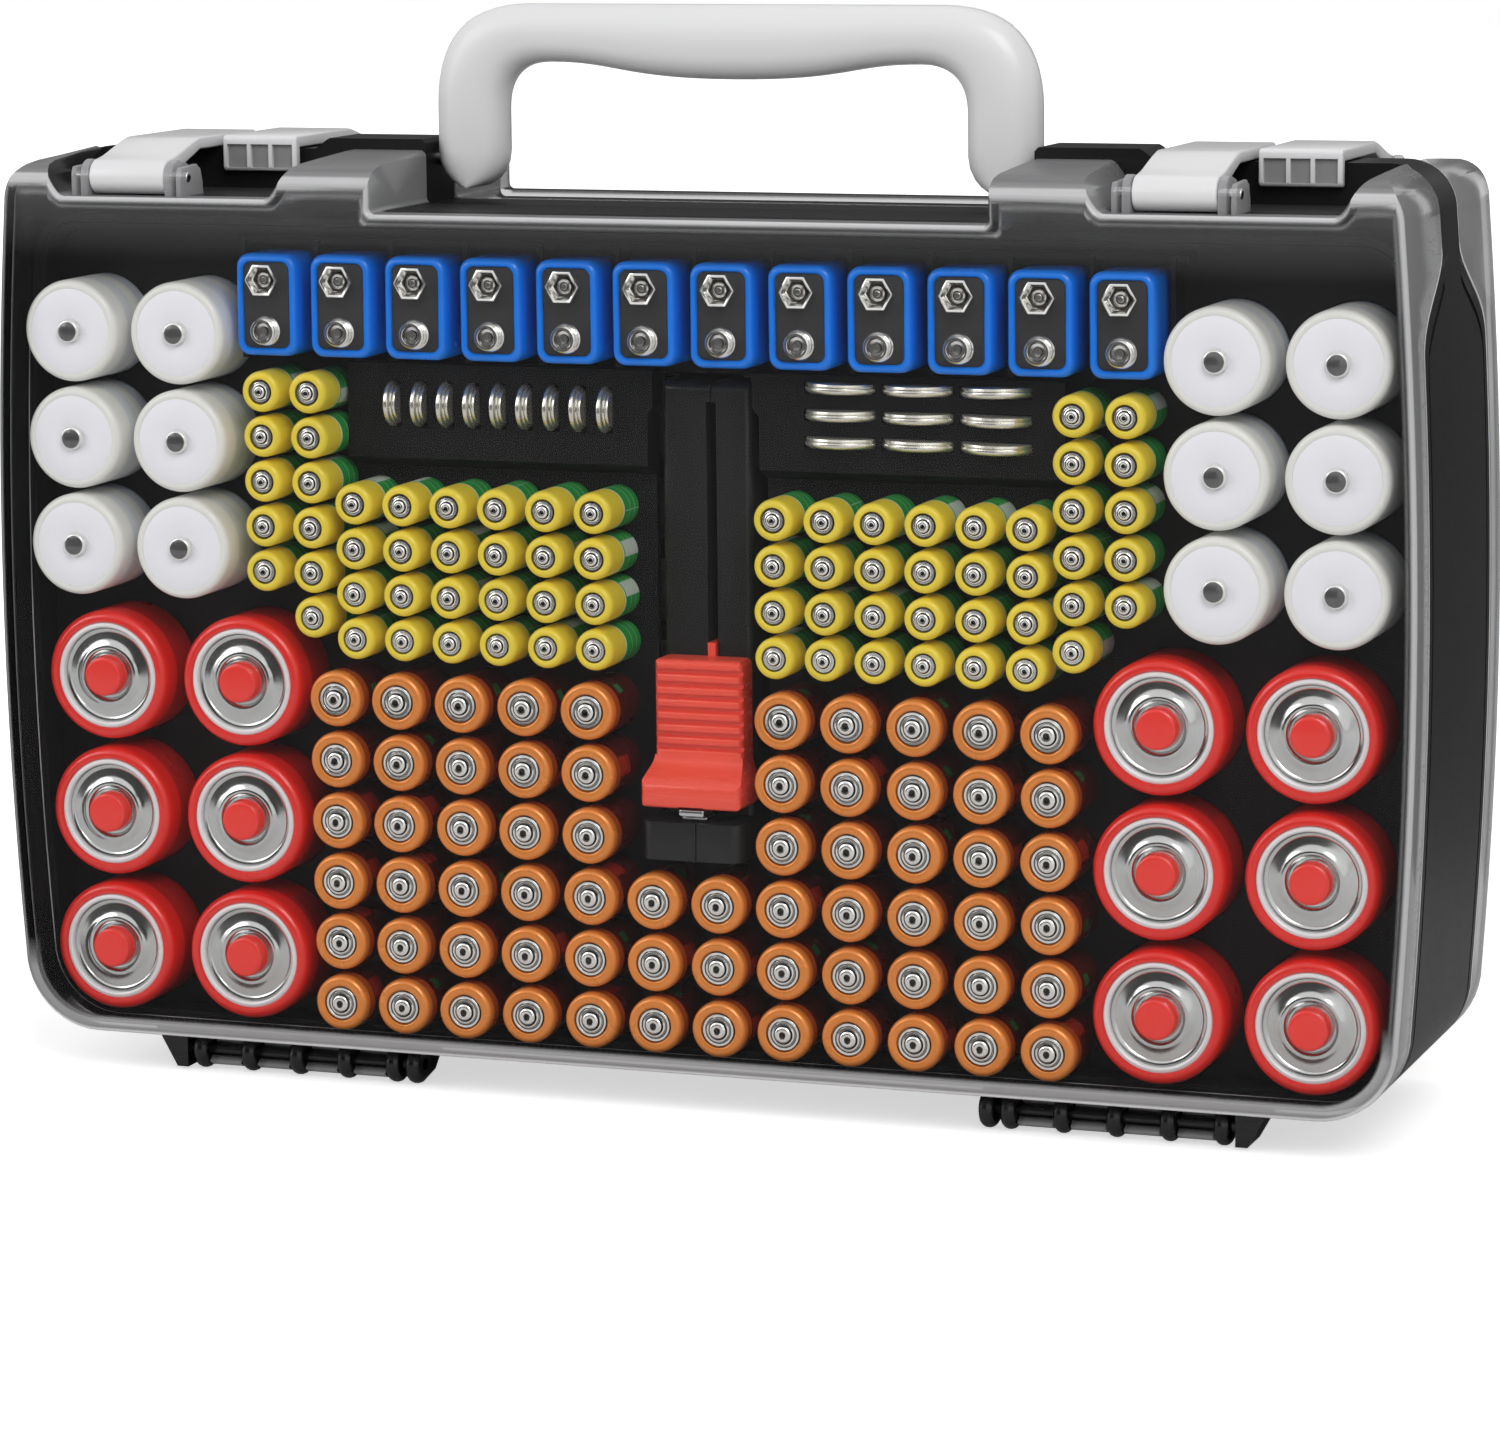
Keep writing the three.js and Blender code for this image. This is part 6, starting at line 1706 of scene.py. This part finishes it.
class ORGANIZER_OT_back_tray(PieceOperator, bpy.types.Operator):
    """Builds the back tray and the cells that lie in it"""
    bl_idname = "organizer.back_tray"
    bl_label = "Back tray"
    builder = staticmethod(build_back_tray)


class ORGANIZER_OT_large_cells(PieceOperator, bpy.types.Operator):
    """Builds the large round cells"""
    bl_idname = "organizer.large_cells"
    bl_label = "Large cells"
    builder = staticmethod(build_large_cells)


class ORGANIZER_OT_small_cells(PieceOperator, bpy.types.Operator):
    """Builds the small standing cells"""
    bl_idname = "organizer.small_cells"
    bl_label = "Small cells"
    builder = staticmethod(build_small_cells)


class ORGANIZER_OT_block_cells(PieceOperator, bpy.types.Operator):
    """Builds the block cells with two terminals"""
    bl_idname = "organizer.block_cells"
    bl_label = "Block cells"
    builder = staticmethod(build_block_cells)


class ORGANIZER_OT_coin_cells(PieceOperator, bpy.types.Operator):
    """Builds the button and coin cells"""
    bl_idname = "organizer.coin_cells"
    bl_label = "Coin cells"
    builder = staticmethod(build_coin_cells)


class ORGANIZER_OT_tester(PieceOperator, bpy.types.Operator):
    """Builds the battery tester with its slider"""
    bl_idname = "organizer.tester"
    bl_label = "Battery tester"
    builder = staticmethod(build_tester)


OPERATORS = (ORGANIZER_OT_stage, ORGANIZER_OT_frame, ORGANIZER_OT_covers, ORGANIZER_OT_latches,
             ORGANIZER_OT_handle, ORGANIZER_OT_hinge_pins, ORGANIZER_OT_front_tray, ORGANIZER_OT_back_tray,
             ORGANIZER_OT_large_cells, ORGANIZER_OT_small_cells, ORGANIZER_OT_block_cells,
             ORGANIZER_OT_coin_cells, ORGANIZER_OT_tester)


class ORGANIZER_PT_panel(bpy.types.Panel):
    """Lists the settings and the builders"""
    bl_label = "Organizer"
    bl_idname = "ORGANIZER_PT_panel"
    bl_space_type = "VIEW_3D"
    bl_region_type = "UI"
    bl_category = "Organizer"

    def draw(self, context):
        settings = context.scene.organizer_stage
        for name in ("lens", "world_level", "key_power", "fill_power", "top_power"):
            self.layout.prop(settings, name)
        for operator in OPERATORS:
            self.layout.operator(operator.bl_idname)


CLASSES = (ORGANIZER_StageSettings, *OPERATORS, ORGANIZER_PT_panel)


def register():
    for cls in CLASSES:
        bpy.utils.register_class(cls)
    bpy.types.Scene.organizer_stage = bpy.props.PointerProperty(type=ORGANIZER_StageSettings)


def unregister():
    del bpy.types.Scene.organizer_stage
    for cls in reversed(CLASSES):
        bpy.utils.unregister_class(cls)


def main():
    register()
    for operator in OPERATORS:
        group, name = operator.bl_idname.split(".")
        getattr(getattr(bpy.ops, group), name)()


if __name__ == "__main__":
    main()
